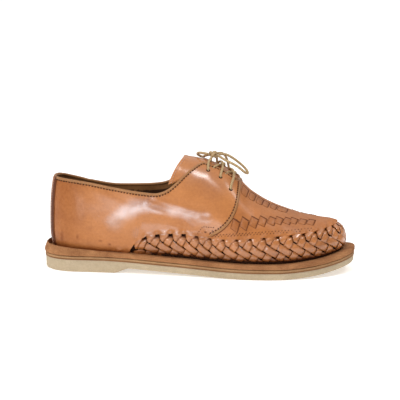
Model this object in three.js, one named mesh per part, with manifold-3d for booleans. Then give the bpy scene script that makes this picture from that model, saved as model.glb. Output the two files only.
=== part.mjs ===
import * as THREE from 'three';
import { mergeVertices } from 'three/addons/utils/BufferGeometryUtils.js';
import Module from 'manifold-3d';

const wasm = await Module();
wasm.setup();

// A right shoe in millimetres: toe along +X, lateral side along -Y, floor at Z 0.
// Stations are measured along X from the heel end of the sole.
const soleLength = 300;
const heelInset = 7;
const toeInset = 11;
const heelCapLength = 37;
const toeCapLength = 80;
const capRoundness = 2.3;
const spineHeel = 36;
const spineToe = 268;
const rubberThickness = 7;
const heelBreastTop = 84;
const heelBreastFoot = 72;
const midsoleThickness = 3;
const weltThickness = 4.5;
const heelLipHeight = 4.5;
const heelLipReach = 80;
const tuckIn = 3;
const jointGap = 0.35;
const footGap = 0.75;
const vampWall = 1.4;
const quarterInner = 1.3;
const quarterOuter = 2.7;
const tongueOuter = 0.95;
const backstayInner = 3.05;
const backstayOuter = 4.2;
const backstayHalfWidth = 16;
const heelTail = 2.5;
const heelBackFullness = 0.6;
const throatCentre = 2;
const weavePitch = 13.1;
const weaveSlant = 7.5;
const weaveRise = 2.8;
const weaveEnd = 1.7;
const weaveRoot = 0.3;
const weaveFoot = 1.6;
const weaveRowGap = 0.8;
const weaveSideCount = 17;
const gapHalf = 1.6;
const eyeletRadius = 1.9;
const laceRadius = 1.35;
const laceClearance = 1;
const laceSag = 2;
const padRise = 2.2;

// The sole seen from above: half breadth, centre line, and how far inside its edge the last stands.
const planTable = [
  { station: 0, half: 34.5, centre: 0, margin: 7.2 },
  { station: 40, half: 34.8, centre: 0, margin: 7.4 },
  { station: 80, half: 35.8, centre: -1.5, margin: 7.4 },
  { station: 120, half: 38, centre: -4, margin: 7.4 },
  { station: 150, half: 42, centre: -4.6, margin: 7.2 },
  { station: 190, half: 49.5, centre: -3.5, margin: 7 },
  { station: 215, half: 52, centre: -2, margin: 7 },
  { station: 240, half: 51, centre: -0.3, margin: 7.6 },
  { station: 270, half: 47.5, centre: 1.8, margin: 8.6 },
  { station: 300, half: 43, centre: 3.5, margin: 9.5 },
];

// Top face of the rubber along the shoe: heel seat, falling shank, flat ball, toe spring.
const soleTable = [
  { station: 0, top: 12.5 },
  { station: 60, top: 12.5 },
  { station: 84, top: 11.8 },
  { station: 130, top: 9.6 },
  { station: 200, top: rubberThickness },
  { station: 228, top: rubberThickness },
  { station: 260, top: 8.9 },
  { station: 285, top: 12.8 },
  { station: 300, top: 16.2 },
];

// The last along the foot: ridge height, ridge lean to the medial side, height of the widest line
// above the feather edge, and the fullness of the section.
const lastTable = [
  { station: 36, ridge: 118, lean: 0, bulge: 18, fullness: 1.95 },
  { station: 70, ridge: 116, lean: 1, bulge: 17, fullness: 2.05 },
  { station: 110, ridge: 112, lean: 2.5, bulge: 16, fullness: 2.2 },
  { station: 133, ridge: 108.5, lean: 3.5, bulge: 15, fullness: 2.3 },
  { station: 145, ridge: 106.8, lean: 4, bulge: 15, fullness: 2.25 },
  { station: 158, ridge: 104, lean: 4, bulge: 15, fullness: 2.2 },
  { station: 172, ridge: 98, lean: 4, bulge: 15, fullness: 2.2 },
  { station: 184, ridge: 89, lean: 4, bulge: 15, fullness: 2.2 },
  { station: 199, ridge: 74, lean: 4, bulge: 15, fullness: 2.2 },
  { station: 219, ridge: 62, lean: 3.5, bulge: 15, fullness: 2.25 },
  { station: 233, ridge: 56.6, lean: 3, bulge: 14, fullness: 2.3 },
  { station: 250, ridge: 51.4, lean: 3, bulge: 12, fullness: 2.25 },
  { station: 268, ridge: 49, lean: 3, bulge: 9.5, fullness: 2.1 },
];

// Top line of the collar on each side, from behind the heel to the top of the facings.
const toplineTable = [
  { station: -12, lateral: 87.6, medial: 87.6 },
  { station: 6, lateral: 86.8, medial: 86.8 },
  { station: 20, lateral: 86.2, medial: 83 },
  { station: 36, lateral: 84.8, medial: 79.2 },
  { station: 67, lateral: 79.8, medial: 74.8 },
  { station: 95, lateral: 76, medial: 75.4 },
  { station: 110, lateral: 75, medial: 76.8 },
  { station: 119, lateral: 77.2, medial: 79.6 },
  { station: 128, lateral: 83, medial: 85.2 },
  { station: 139, lateral: 93, medial: 94.4 },
  { station: 146, lateral: 98.4, medial: 99.2 },
  { station: 152, lateral: 101.6, medial: 102 },
  { station: 159, lateral: 103.2, medial: 103.4 },
  { station: 168, lateral: 108, medial: 108 },
];

// Front edge of the quarter, from the throat down to the woven band.
const quarterFrontTable = [
  { station: 168, height: 116 },
  { station: 179, height: 98 },
  { station: 186, height: 91 },
  { station: 189, height: 82 },
  { station: 188, height: 70 },
  { station: 184, height: 58 },
  { station: 176, height: 48 },
  { station: 160, height: 38.4 },
];

// Upper edge of the woven band.
const bandTable = [
  { station: 83, height: 22 },
  { station: 90, height: 30 },
  { station: 98, height: 36 },
  { station: 111, height: 38.8 },
  { station: 139, height: 40.5 },
  { station: 160, height: 38.4 },
  { station: 176, height: 37.6 },
  { station: 201, height: 39 },
  { station: 227, height: 40.8 },
  { station: 251, height: 41.5 },
  { station: 264, height: 42.4 },
  { station: 275, height: 44.2 },
  { station: 289, height: 45.5 },
];

// Half width of the throat between the facings, and of the tongue below them.
const throatTable = [
  { station: 124, throat: 16, tongue: 29 },
  { station: 150, throat: 14, tongue: 26 },
  { station: 170, throat: 13, tongue: 21 },
  { station: 192, throat: 13, tongue: 15 },
];
const tongueFront = 192.5;
const tongueFoot = 62;
const tongueEnd = { footStation: 122, footHeight: 78, topStation: 134, topHeight: 112 };

// Rows of slotted strips on the vamp: first and last strip and their place across the vamp.
const stripRows = [
  { count: 10, from: 188.5, to: 258.3, across: [-43.4, -33, -15.1], length: 10.5 },
  { count: 7, from: 197.5, to: 234, across: [-9.5, -8.8, -6.5], length: 14 },
  { count: 10, from: 188.5, to: 258.3, across: [37.1, 33.2, 19.6], length: 10.5 },
];
const stripWidth = 6.2;
const stripLean = 3;

// Eyelets of the lateral facing, from the top; the medial ones mirror them about the throat.
const eyeletTable = [
  { station: 157.5, across: -18 },
  { station: 169.5, across: -20.5 },
  { station: 181.5, across: -26.5 },
];

const leather = { color: 0xc88c5f, roughness: 0.38, metalness: 0 };
const suede = { color: 0xb98a5e, roughness: 0.85, metalness: 0 };
const rubber = { color: 0xcdc3a5, roughness: 0.7, metalness: 0 };
const cotton = { color: 0xbea57d, roughness: 0.9, metalness: 0 };

// A smooth value of one table column at a station, without overshoot between rows.
function columnAt(table, column, station) {
  const last = table.length - 1;
  if (station <= table[0].station) return table[0][column];
  if (station >= table[last].station) return table[last][column];
  let row = 0;
  while (table[row + 1].station < station) row += 1;
  const slopes = [row - 1, row, row + 1].map((index) => {
    if (index < 0 || index >= last) return null;
    return (table[index + 1][column] - table[index][column]) / (table[index + 1].station - table[index].station);
  });
  const blend = (first, second) => {
    if (first === null || second === null) return 0;
    return first * second <= 0 ? 0 : (2 * first * second) / (first + second);
  };
  const leaving = slopes[0] === null ? slopes[1] : blend(slopes[0], slopes[1]);
  const arriving = slopes[2] === null ? slopes[1] : blend(slopes[1], slopes[2]);
  const span = table[row + 1].station - table[row].station;
  const share = (station - table[row].station) / span;
  const cubic = share * share * (3 - 2 * share);
  const start = table[row][column];
  const rise = table[row + 1][column] - start;
  const bow = share * (1 - share) * (leaving * (1 - share) - arriving * share) * span;
  return start + rise * cubic + bow;
}

function featherLine(station) {
  return columnAt(soleTable, 'top', station) + midsoleThickness + weltThickness;
}

function rounded(share) {
  const clipped = Math.min(1, Math.max(0, share));
  return Math.pow(1 - Math.pow(clipped, capRoundness), 1 / capRoundness);
}

// Plan outline of the last at a station on one side (-1 lateral, +1 medial).
function lastEdge(station, side) {
  const heelShare = (heelInset + heelCapLength - station) / heelCapLength;
  const toeShare = (station - (soleLength - toeInset - toeCapLength)) / toeCapLength;
  const half = columnAt(planTable, 'half', station) - columnAt(planTable, 'margin', station);
  return columnAt(planTable, 'centre', station) + side * half * rounded(heelShare) * rounded(toeShare);
}

// Round the last: 0 to 1 lateral side, 1 to 2 toe, 2 to 3 medial side, 3 to 4 heel.
function plainPlan(turn) {
  const lap = ((turn % 4) + 4) % 4;
  const sector = Math.floor(lap);
  const share = lap - sector;
  const spine = new THREE.Vector2(0, 0);
  const edge = new THREE.Vector2(0, 0);
  if (sector === 0 || sector === 2) {
    const run = sector === 0 ? share : 1 - share;
    const station = spineHeel + (spineToe - spineHeel) * run;
    edge.set(station, lastEdge(station, sector === 0 ? -1 : 1));
    spine.set(station, 0);
  } else {
    const toeward = sector === 1;
    const pole = toeward ? spineToe : spineHeel;
    const tip = toeward ? soleLength - toeInset : heelInset;
    const swing = Math.sin(Math.PI * (share - 0.5));
    const reach = Math.sqrt(Math.max(0, 1 - swing * swing));
    const station = pole + (tip - pole) * Math.pow(reach, 1.15);
    const side = (swing < 0 ? -1 : 1) * (toeward ? 1 : -1);
    edge.set(station, lastEdge(station, side));
    spine.set(pole, 0);
  }
  spine.y = columnAt(lastTable, 'lean', spine.x);
  return { spine, edge };
}

function planAt(turn, offset) {
  const { spine, edge } = plainPlan(turn);
  const step = 0.004;
  const along = plainPlan(turn + step).edge.sub(plainPlan(turn - step).edge).normalize();
  edge.x += along.y * offset;
  edge.y -= along.x * offset;
  return { spine, edge };
}

// The back of the heel stands straighter than its sides.
function fullnessAt(spine, edge) {
  const backward = Math.max(0, (spineHeel - edge.x) / (spineHeel - heelInset));
  return columnAt(lastTable, 'fullness', spine.x) + heelBackFullness * backward;
}

// A point of the last's surface pushed out by offset. Rise -1 is the feather edge, 0 the widest line
// and 1 the ridge.
function skin(turn, rise, offset) {
  const { spine, edge } = planAt(turn, offset);
  const bulge = columnAt(lastTable, 'bulge', spine.x);
  const fullness = fullnessAt(spine, edge);
  const ridge = columnAt(lastTable, 'ridge', spine.x) + offset;
  const feather = featherLine(Math.min(edge.x, soleLength - toeInset));
  const reach = edge.distanceTo(spine);
  let height = feather + bulge * (1 + rise);
  let share = 1 - (tuckIn / reach) * rise * rise;
  if (rise > 0) {
    const angle = (rise * Math.PI) / 2;
    share = Math.pow(Math.cos(angle), 2 / fullness);
    height = feather + bulge + (ridge - feather - bulge) * Math.pow(Math.sin(angle), 2 / fullness);
  }
  const place = spine.clone().lerp(edge, share);
  return new THREE.Vector3(place.x, place.y, height);
}

// The rise at which the wall reaches a height.
function riseAt(turn, height, offset) {
  const { spine, edge } = planAt(turn, offset);
  const bulge = columnAt(lastTable, 'bulge', spine.x);
  const fullness = fullnessAt(spine, edge);
  const widest = featherLine(Math.min(edge.x, soleLength - toeInset)) + bulge;
  if (height <= widest) return (height - widest) / bulge;
  const share = Math.min(1, (height - widest) / (columnAt(lastTable, 'ridge', spine.x) + offset - widest));
  return (Math.asin(Math.pow(share, fullness / 2)) * 2) / Math.PI;
}

function wallPoint(turn, height, offset) {
  return skin(turn, riseAt(turn, height, 0), offset);
}

// Turn and rise of the place at a station and a distance across the vamp.
function topPlace(station, across) {
  const share = (station - spineHeel) / (spineToe - spineHeel);
  const lean = columnAt(lastTable, 'lean', station);
  const turn = across < lean ? share : 3 - share;
  const { edge } = plainPlan(turn);
  const reach = Math.min(1, Math.abs((across - lean) / (edge.y - lean)));
  const fullness = columnAt(lastTable, 'fullness', station);
  const rise = (Math.acos(Math.pow(reach, fullness / 2)) * 2) / Math.PI;
  return { turn, rise };
}

function topPoint(station, across, offset) {
  const { turn, rise } = topPlace(station, across);
  return skin(turn, rise, offset);
}

function solidFromTriangles(corners) {
  const index = new Map();
  const positions = [];
  const triangles = [];
  const number = (point) => {
    const key = [point.x, point.y, point.z].map((value) => Math.round(value * 1e3)).join(' ');
    if (!index.has(key)) {
      index.set(key, positions.length / 3);
      positions.push(point.x, point.y, point.z);
    }
    return index.get(key);
  };
  for (let start = 0; start < corners.length; start += 3) {
    const [a, b, c] = [0, 1, 2].map((step) => number(corners[start + step]));
    if (a !== b && b !== c && c !== a) triangles.push(a, b, c);
  }
  const vertProperties = Float32Array.from(positions);
  const triVerts = Uint32Array.from(triangles);
  return new wasm.Manifold(new wasm.Mesh({ numProp: 3, vertProperties, triVerts }));
}

function solidFromGeometry(geometry) {
  const plain = geometry.clone();
  plain.deleteAttribute('normal');
  plain.deleteAttribute('uv');
  const merged = mergeVertices(plain, 1e-4);
  const vertProperties = Float32Array.from(merged.attributes.position.array);
  const triVerts = Uint32Array.from(merged.index.array);
  return new wasm.Manifold(new wasm.Mesh({ numProp: 3, vertProperties, triVerts }));
}

function addQuad(corners, a, b, c, d) {
  corners.push(a, b, c, a, c, d);
}

const ring = [];
const sectorSteps = [17, 14, 17, 10];
sectorSteps.forEach((steps, sector) => {
  for (let step = 0; step < steps; step += 1) ring.push(sector + step / steps);
});
const wallRises = [-0.5, 0, 0.2, 0.4, 0.6, 0.8];

// The whole last pushed out by offset, closed below at a height over the feather edge.
function lastForm(offset, foot) {
  const corners = [];
  const columns = ring.map((turn) => {
    const { spine } = planAt(turn, offset);
    const footRise = foot / columnAt(lastTable, 'bulge', spine.x) - 1;
    const wall = [footRise, ...wallRises].map((rise) => skin(turn, rise, offset));
    const ridge = new THREE.Vector3(spine.x, spine.y, columnAt(lastTable, 'ridge', spine.x) + offset);
    const floor = new THREE.Vector3(spine.x, spine.y, featherLine(spine.x) + foot);
    return { wall, ridge, floor };
  });
  columns.forEach((column, place) => {
    const next = columns[(place + 1) % columns.length];
    const top = column.wall.length - 1;
    addQuad(corners, column.floor, next.floor, next.wall[0], column.wall[0]);
    for (let level = 0; level < top; level += 1) {
      addQuad(corners, column.wall[level], next.wall[level], next.wall[level + 1], column.wall[level + 1]);
    }
    addQuad(corners, column.wall[top], next.wall[top], next.ridge, column.ridge);
  });
  return solidFromTriangles(corners);
}

function shell(outer, inner) {
  return lastForm(outer, footGap).subtract(lastForm(inner, -4));
}

// Prisms through the shoe: across it from a side view, or down through it from a plan.
const sideReach = 70;
function sidePrism(points, near = -sideReach, far = sideReach) {
  const shape = new THREE.Shape(points);
  const geometry = new THREE.ExtrudeGeometry(shape, { depth: far - near, bevelEnabled: false });
  geometry.rotateX(Math.PI / 2);
  geometry.translate(0, far, 0);
  return solidFromGeometry(geometry);
}

function planPrism(points, bottom, top) {
  const shape = new THREE.Shape(points);
  const geometry = new THREE.ExtrudeGeometry(shape, { depth: top - bottom, bevelEnabled: false });
  geometry.translate(0, 0, bottom);
  return solidFromGeometry(geometry);
}

function smoothLine(table, column, steps) {
  const points = table.map((row) => new THREE.Vector2(row.station, row[column]));
  return new THREE.SplineCurve(points).getPoints(steps);
}

const skyHeight = 140;
function collarSide(column, near, far) {
  const line = smoothLine(toplineTable, column, 34);
  const front = toplineTable[toplineTable.length - 1].station;
  const above = [new THREE.Vector2(front, skyHeight), new THREE.Vector2(toplineTable[0].station, skyHeight)];
  return sidePrism([...line, ...above], near, far);
}

const collarOpening = collarSide('lateral', -sideReach, throatCentre).add(
  collarSide('medial', throatCentre, sideReach),
);

function throatPrism(column, growth, front) {
  const near = [];
  const far = [];
  const stations = throatTable.map((row) => Math.min(row.station, front));
  stations[0] -= growth;
  stations[stations.length - 1] = front;
  for (const station of stations) {
    const half = columnAt(throatTable, column, station) + growth;
    near.push(new THREE.Vector2(station, throatCentre - half));
    far.unshift(new THREE.Vector2(station, throatCentre + half));
  }
  return planPrism([...near, ...far], tongueFoot - growth, skyHeight);
}

const quarterSide = sidePrism([
  ...smoothLine(quarterFrontTable, 'height', 18).reverse(),
  new THREE.Vector2(-20, 116),
  new THREE.Vector2(-20, 5),
  new THREE.Vector2(83, 5),
  ...smoothLine(bandTable.filter((row) => row.station < 150), 'height', 10),
]);

// Closed patch on the last over a grid of places, from a root inside the wall to its raised faces.
function patch(rows, root, faces) {
  const corners = [];
  const outer = rows.map((row, line) => row.map((place, column) => skin(place.turn, place.rise, faces[line][column])));
  const inner = rows.map((row) => row.map((place) => skin(place.turn, place.rise, root)));
  const lines = rows.length - 1;
  const columns = rows[0].length - 1;
  for (let line = 0; line < lines; line += 1) {
    const above = line + 1;
    for (let column = 0; column < columns; column += 1) {
      const next = column + 1;
      addQuad(corners, outer[line][column], outer[line][next], outer[above][next], outer[above][column]);
      addQuad(corners, inner[line][column], inner[above][column], inner[above][next], inner[line][next]);
    }
    addQuad(corners, inner[line][0], outer[line][0], outer[above][0], inner[above][0]);
    addQuad(corners, inner[line][columns], inner[above][columns], outer[above][columns], outer[line][columns]);
  }
  for (let column = 0; column < columns; column += 1) {
    const next = column + 1;
    addQuad(corners, inner[0][column], inner[0][next], outer[0][next], outer[0][column]);
    addQuad(corners, inner[lines][column], outer[lines][column], outer[lines][next], inner[lines][next]);
  }
  return solidFromTriangles(corners);
}

// Turns at equal steps along the band, measured both ways from the toe.
function bandRuler(side) {
  const marks = [];
  const steps = 400;
  const reach = 1.32;
  let distance = 0;
  let before = null;
  for (let step = 0; step <= steps; step += 1) {
    const turn = 1.5 + (side * reach * step) / steps;
    const point = skin(turn, -0.2, vampWall);
    if (before) distance += point.distanceTo(before);
    marks.push({ station: distance, turn });
    before = point;
  }
  return (wanted) => {
    const later = marks.findIndex((mark) => mark.station >= wanted);
    if (later < 1) return later === 0 ? marks[0].turn : marks[marks.length - 1].turn;
    const share = (wanted - marks[later - 1].station) / (marks[later].station - marks[later - 1].station);
    return marks[later - 1].turn + (marks[later].turn - marks[later - 1].turn) * share;
  };
}

function bandHeight(turn, row) {
  const station = plainPlan(turn).edge.x;
  const foot = featherLine(station) + weaveFoot;
  const top = columnAt(bandTable, 'height', station) - weaveRowGap;
  return foot + ((top - foot) * row) / 3;
}

function bandPlace(turn, row) {
  return { turn, rise: riseAt(turn, bandHeight(turn, row), 0) };
}

// The band's strips lie in three rows, leaning to and fro, each raised between its own low edges.
const weaveLevels = [0, 0.5, 1, 1.5, 2, 2.5, 3];
const weaveColumns = [0, 0.13, 0.87];

function weaveShift(level) {
  const row = Math.min(2, Math.floor(level));
  const share = level - row - 0.5;
  return row === 1 ? -share : share;
}

function weaveBand(rulers) {
  const columns = [];
  for (let index = -weaveSideCount; index <= weaveSideCount; index += 1) {
    for (const share of weaveColumns) columns.push({ run: (index + share) * weavePitch, raised: share > 0 });
  }
  const wanted = columns.filter((column) => column.run <= weaveSideCount * weavePitch);
  const rows = weaveLevels.map((level) => wanted.map((column) => {
    const calm = Math.min(1, Math.abs(column.run) / weavePitch);
    const run = Math.abs(column.run) - weaveSlant * weaveShift(level) * calm;
    const turn = rulers[column.run < 0 ? 0 : 1](run);
    return bandPlace(turn, level);
  }));
  const faces = weaveLevels.map((level) => wanted.map((column) => {
    return column.raised && level % 1 > 0 ? weaveRise : weaveEnd;
  }));
  return patch(rows, weaveRoot, faces);
}

function gapHole(ruler, side, index) {
  const middle = index * weavePitch - weaveSlant / 2;
  const ends = [middle - side * gapHalf, middle + side * gapHalf, middle];
  const levels = [2.55, 2.55, 3.1];
  const places = ends.map((run, corner) => bandPlace(ruler(run), levels[corner]));
  const rings = [-1.5, 5].map((offset) => places.map((place) => skin(place.turn, place.rise, offset)));
  const corners = [rings[1][0], rings[1][1], rings[1][2], rings[0][0], rings[0][2], rings[0][1]];
  [0, 1, 2].forEach((corner) => {
    const next = (corner + 1) % 3;
    addQuad(corners, rings[0][corner], rings[0][next], rings[1][next], rings[1][corner]);
  });
  return solidFromTriangles(corners);
}

function vampStrip(row, index) {
  const share = index / (row.count - 1);
  const station = row.from + (row.to - row.from) * share;
  const [first, middle, end] = row.across;
  const offside = (1 - share) * (1 - 2 * share) * first + 4 * share * (1 - share) * middle + share * (2 * share - 1) * end;
  const sense = offside < columnAt(lastTable, 'lean', station) ? 1 : -1;
  const rows = [-0.5, 0.5].map((reach) => {
    return [-0.5, 0.5].map((wide) => {
      const along = station + wide * stripWidth + reach * stripLean;
      const place = topPlace(along, offside);
      const steep = skin(place.turn, place.rise, 0).distanceTo(skin(place.turn, place.rise + 0.01, 0)) / 0.01;
      return { turn: place.turn, rise: Math.min(0.985, place.rise + (reach * row.length) / steep) };
    });
  });
  const ordered = sense > 0 ? rows : rows.map((pair) => pair.reverse());
  return patch(ordered, weaveRoot, [[padRise, padRise], [padRise, padRise]]);
}

function eyeletPlace(row, side) {
  const offside = side < 0 ? row.across : 2 * throatCentre - row.across;
  const point = topPoint(row.station, offside, quarterOuter);
  const ahead = topPoint(row.station + 1, offside, quarterOuter).sub(point);
  const beside = topPoint(row.station, offside + 1, quarterOuter).sub(point);
  return { point, normal: ahead.cross(beside).normalize() };
}

function eyeletHole(row, side) {
  const { point, normal } = eyeletPlace(row, side);
  const geometry = new THREE.CylinderGeometry(eyeletRadius, eyeletRadius, 12, 8);
  geometry.applyQuaternion(new THREE.Quaternion().setFromUnitVectors(new THREE.Vector3(0, 1, 0), normal));
  geometry.translate(point.x, point.y, point.z);
  return solidFromGeometry(geometry);
}

function makeUpper() {
  const tongueWell = throatPrism('tongue', jointGap, tongueFront + jointGap);
  const throat = throatPrism('throat', 0, 215);
  let body = shell(vampWall, 0).subtract(collarOpening).subtract(tongueWell);
  const quarter = shell(quarterOuter, quarterInner).intersect(quarterSide);
  body = body.add(quarter.subtract(collarOpening).subtract(throat));
  const rulers = [bandRuler(-1), bandRuler(1)];
  body = body.add(weaveBand(rulers));
  [-1, 1].forEach((side, number) => {
    for (let index = 1; index < weaveSideCount; index += 1) body = body.subtract(gapHole(rulers[number], side, index));
    for (const row of eyeletTable) body = body.subtract(eyeletHole(row, side));
  });
  for (const row of stripRows) {
    for (let index = 0; index < row.count; index += 1) body = body.add(vampStrip(row, index));
  }
  return body;
}

function makeTongue() {
  const { footStation, footHeight, topStation, topHeight } = tongueEnd;
  const behind = sidePrism([
    new THREE.Vector2(footStation - 60, footHeight - 40),
    new THREE.Vector2(footStation - 14, footHeight - 40),
    new THREE.Vector2(footStation, footHeight),
    new THREE.Vector2(topStation, topHeight),
    new THREE.Vector2(topStation, skyHeight),
    new THREE.Vector2(footStation - 60, skyHeight),
  ]);
  return shell(tongueOuter, -0.15).intersect(throatPrism('tongue', 0, tongueFront)).subtract(behind);
}

function makeBackstay() {
  const strip = planPrism([
    new THREE.Vector2(-20, -backstayHalfWidth),
    new THREE.Vector2(30, -backstayHalfWidth),
    new THREE.Vector2(30, backstayHalfWidth),
    new THREE.Vector2(-20, backstayHalfWidth),
  ], featherLine(0) + heelLipHeight + 1, skyHeight);
  return shell(backstayOuter, backstayInner).intersect(strip).subtract(collarOpening);
}

// Layers of the sole: rings of the plan drawn in by an inset, each at its own height.
const soleStations = [
  0, 0.7, 2.6, 6, 12, 20, 30, 42, 57, heelBreastFoot, heelBreastTop, 100, 120, 140, 160, 180, 200, 214, 228,
  242, 256, 268, 278, 286, 292, 296.5, 299.2, soleLength,
];

function solePlan(station, side, inset) {
  const run = station / soleLength;
  const place = inset.heel + run * (soleLength - inset.heel - inset.toe);
  const heelShare = (heelCapLength - station) / heelCapLength;
  const toeShare = (station - (soleLength - toeCapLength)) / toeCapLength;
  const half = columnAt(planTable, 'half', place) - inset.side(place);
  const offside = columnAt(planTable, 'centre', place);
  return new THREE.Vector2(place, offside + side * half * rounded(heelShare) * rounded(toeShare));
}

function evenInset(width) {
  return { heel: width - heelTail, toe: width, side: () => width };
}

function insideUpper(depth) {
  return {
    heel: heelInset + depth,
    toe: toeInset + depth,
    side: (station) => columnAt(planTable, 'margin', station) + depth,
  };
}

function layer(rings) {
  const corners = [];
  const loops = rings.map(({ inset, height }) => {
    return soleStations.map((station) => [-1, 1].map((side) => {
      const plan = solePlan(station, side, inset);
      return new THREE.Vector3(plan.x, plan.y, height(station));
    }));
  });
  const spans = soleStations.length - 1;
  const lid = loops[loops.length - 1];
  const base = loops[0];
  for (let span = 0; span < spans; span += 1) {
    const next = span + 1;
    addQuad(corners, lid[span][0], lid[next][0], lid[next][1], lid[span][1]);
    addQuad(corners, base[span][0], base[span][1], base[next][1], base[next][0]);
    for (let level = 0; level + 1 < loops.length; level += 1) {
      const low = loops[level];
      const high = loops[level + 1];
      addQuad(corners, low[span][0], low[next][0], high[next][0], high[span][0]);
      addQuad(corners, low[next][1], low[span][1], high[span][1], high[next][1]);
    }
  }
  return solidFromTriangles(corners);
}

function treadLine(station) {
  const waist = columnAt(soleTable, 'top', station) - rubberThickness;
  if (station >= heelBreastTop) return waist;
  if (station <= heelBreastFoot) return 0;
  return (waist * (station - heelBreastFoot)) / (heelBreastTop - heelBreastFoot);
}

function rubberTop(station) {
  return columnAt(soleTable, 'top', station);
}

function makeOutsole() {
  return layer([
    { inset: evenInset(2.4), height: treadLine },
    { inset: evenInset(1.2), height: (station) => treadLine(station) + 1.4 },
    { inset: evenInset(0.8), height: (station) => rubberTop(station) - jointGap },
  ]);
}

function makeMidsole() {
  return layer([
    { inset: evenInset(0.7), height: rubberTop },
    { inset: evenInset(0.5), height: (station) => rubberTop(station) + midsoleThickness - jointGap },
  ]);
}

function heelLip(station) {
  const share = Math.max(0, 1 - station / heelLipReach);
  return heelLipHeight * share * share * (3 - 2 * share);
}

function makeWelt() {
  const bottom = (station) => featherLine(station) - weltThickness;
  return layer([
    { inset: evenInset(0), height: bottom },
    { inset: evenInset(0.1), height: (station) => featherLine(station) - 0.9 },
    { inset: evenInset(1), height: (station) => featherLine(station) + 0.3 * heelLip(station) },
    { inset: evenInset(2.3), height: (station) => featherLine(station) + 0.99 * heelLip(station) },
    { inset: evenInset(2.9), height: (station) => featherLine(station) + heelLip(station) },
    { inset: evenInset(3.4), height: featherLine },
  ]);
}

function makeInsole() {
  return layer([
    { inset: insideUpper(tuckIn + 0.9), height: (station) => featherLine(station) + jointGap },
    { inset: insideUpper(tuckIn + 0.6), height: (station) => featherLine(station) + 3 },
  ]);
}

// Round cord along a curve through points.
function cordGeometry(points, radius, steps) {
  const section = new THREE.Shape();
  const sides = 8;
  for (let corner = 0; corner < sides; corner += 1) {
    const angle = (corner * 2 * Math.PI) / sides;
    const place = [radius * Math.cos(angle), radius * Math.sin(angle)];
    if (corner === 0) section.moveTo(...place);
    else section.lineTo(...place);
  }
  section.closePath();
  const extrudePath = new THREE.CatmullRomCurve3(points, false, 'centripetal');
  return new THREE.ExtrudeGeometry(section, { steps, extrudePath, curveSegments: 1, bevelEnabled: false });
}

function crossing(from, to, side) {
  const start = eyeletTable[from];
  const end = eyeletTable[to];
  const reach = (row, facing) => throatCentre + facing * (throatCentre - row.across);
  const points = [0, 0.15, 0.3, 0.5, 0.7, 0.85, 1].map((share) => {
    const station = start.station + (end.station - start.station) * share;
    const offside = reach(start, side) + (reach(end, -side) - reach(start, side)) * share;
    const sag = share === 0.5 ? laceSag : 0;
    return topPoint(station, offside, quarterOuter + laceRadius + laceClearance - sag);
  });
  return solidFromGeometry(cordGeometry(points, laceRadius, 9));
}

function makeCrossings() {
  let cords = crossing(2, 1, -1).add(crossing(2, 1, 1));
  cords = cords.add(crossing(1, 0, -1)).add(crossing(1, 0, 1));
  return cords;
}

const knotCentre = new THREE.Vector3(162.6, 1, 110.8);
const knotRadius = new THREE.Vector3(4.4, 4.8, 3.2);

function knotSolid() {
  const geometry = new THREE.SphereGeometry(1, 10, 7);
  geometry.scale(knotRadius.x, knotRadius.y, knotRadius.z);
  geometry.translate(knotCentre.x, knotCentre.y, knotCentre.z);
  return solidFromGeometry(geometry);
}

// Bow: each cord's way from the knot, in steps from the knot's centre.
const bowTable = [
  {
    name: 'lace_loop_front',
    way: [
      [4.8, -1.9, 0.4], [12, -7, 0], [23, -10, -5.5], [32.5, -6, -14], [31, 1, -16.5], [22, 3.5, -9.5], [12.5, 3, -3],
      [4.8, 1.9, -0.9],
    ],
  },
  {
    name: 'lace_loop_rear',
    way: [
      [-4.9, -1.3, 0.9], [-10, 1, 2.6], [-13, 9, 3], [-12.5, 20, 1], [-10, 27, -1.5], [-8, 20, -2], [-7.5, 10, -1.4],
      [-4.5, 3.4, -0.8],
    ],
  },
  {
    name: 'lace_end_long',
    way: [[2.5, 4.9, 0.5], [7, 13, -0.4], [10, 21, -4], [12, 28, -11], [13, 34, -20], [13.5, 38, -31]],
  },
  {
    name: 'lace_end_short',
    way: [[-0.6, 5.4, -0.9], [1.2, 14, -1.6], [1.6, 22, -4.6], [1.4, 29, -10.5], [1, 34, -18]],
  },
];

function bowCord(row) {
  const points = row.way.map((step) => knotCentre.clone().add(new THREE.Vector3(...step)));
  return solidFromGeometry(cordGeometry(points, laceRadius, 2 * row.way.length));
}

const shoe = new THREE.Group();
const whole = new THREE.Group();

function place(name, solid, look) {
  const mesh = solid.getMesh();
  const geometry = new THREE.BufferGeometry();
  geometry.setAttribute('position', new THREE.BufferAttribute(Float32Array.from(mesh.vertProperties), 3));
  geometry.setIndex(Array.from(mesh.triVerts));
  geometry.computeVertexNormals();
  const node = new THREE.Mesh(geometry, new THREE.MeshStandardMaterial(look));
  node.name = name;
  shoe.add(node);
}

place('outsole', makeOutsole(), rubber);
place('midsole', makeMidsole(), suede);
place('welt', makeWelt(), suede);
place('insole', makeInsole(), suede);
place('upper', makeUpper(), leather);
place('backstay', makeBackstay(), leather);
place('tongue', makeTongue(), leather);
place('lace_crossings', makeCrossings(), cotton);
place('lace_knot', knotSolid(), cotton);
for (const row of bowTable) place(row.name, bowCord(row), cotton);

const solePlanBox = new THREE.Box3().setFromObject(shoe.getObjectByName('welt'));
const middle = solePlanBox.getCenter(new THREE.Vector3());
shoe.position.set(-middle.x, -middle.y, 0);
whole.add(shoe);

export default whole;
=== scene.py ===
import math

import bpy
import numpy as np
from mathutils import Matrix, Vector, noise


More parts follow.
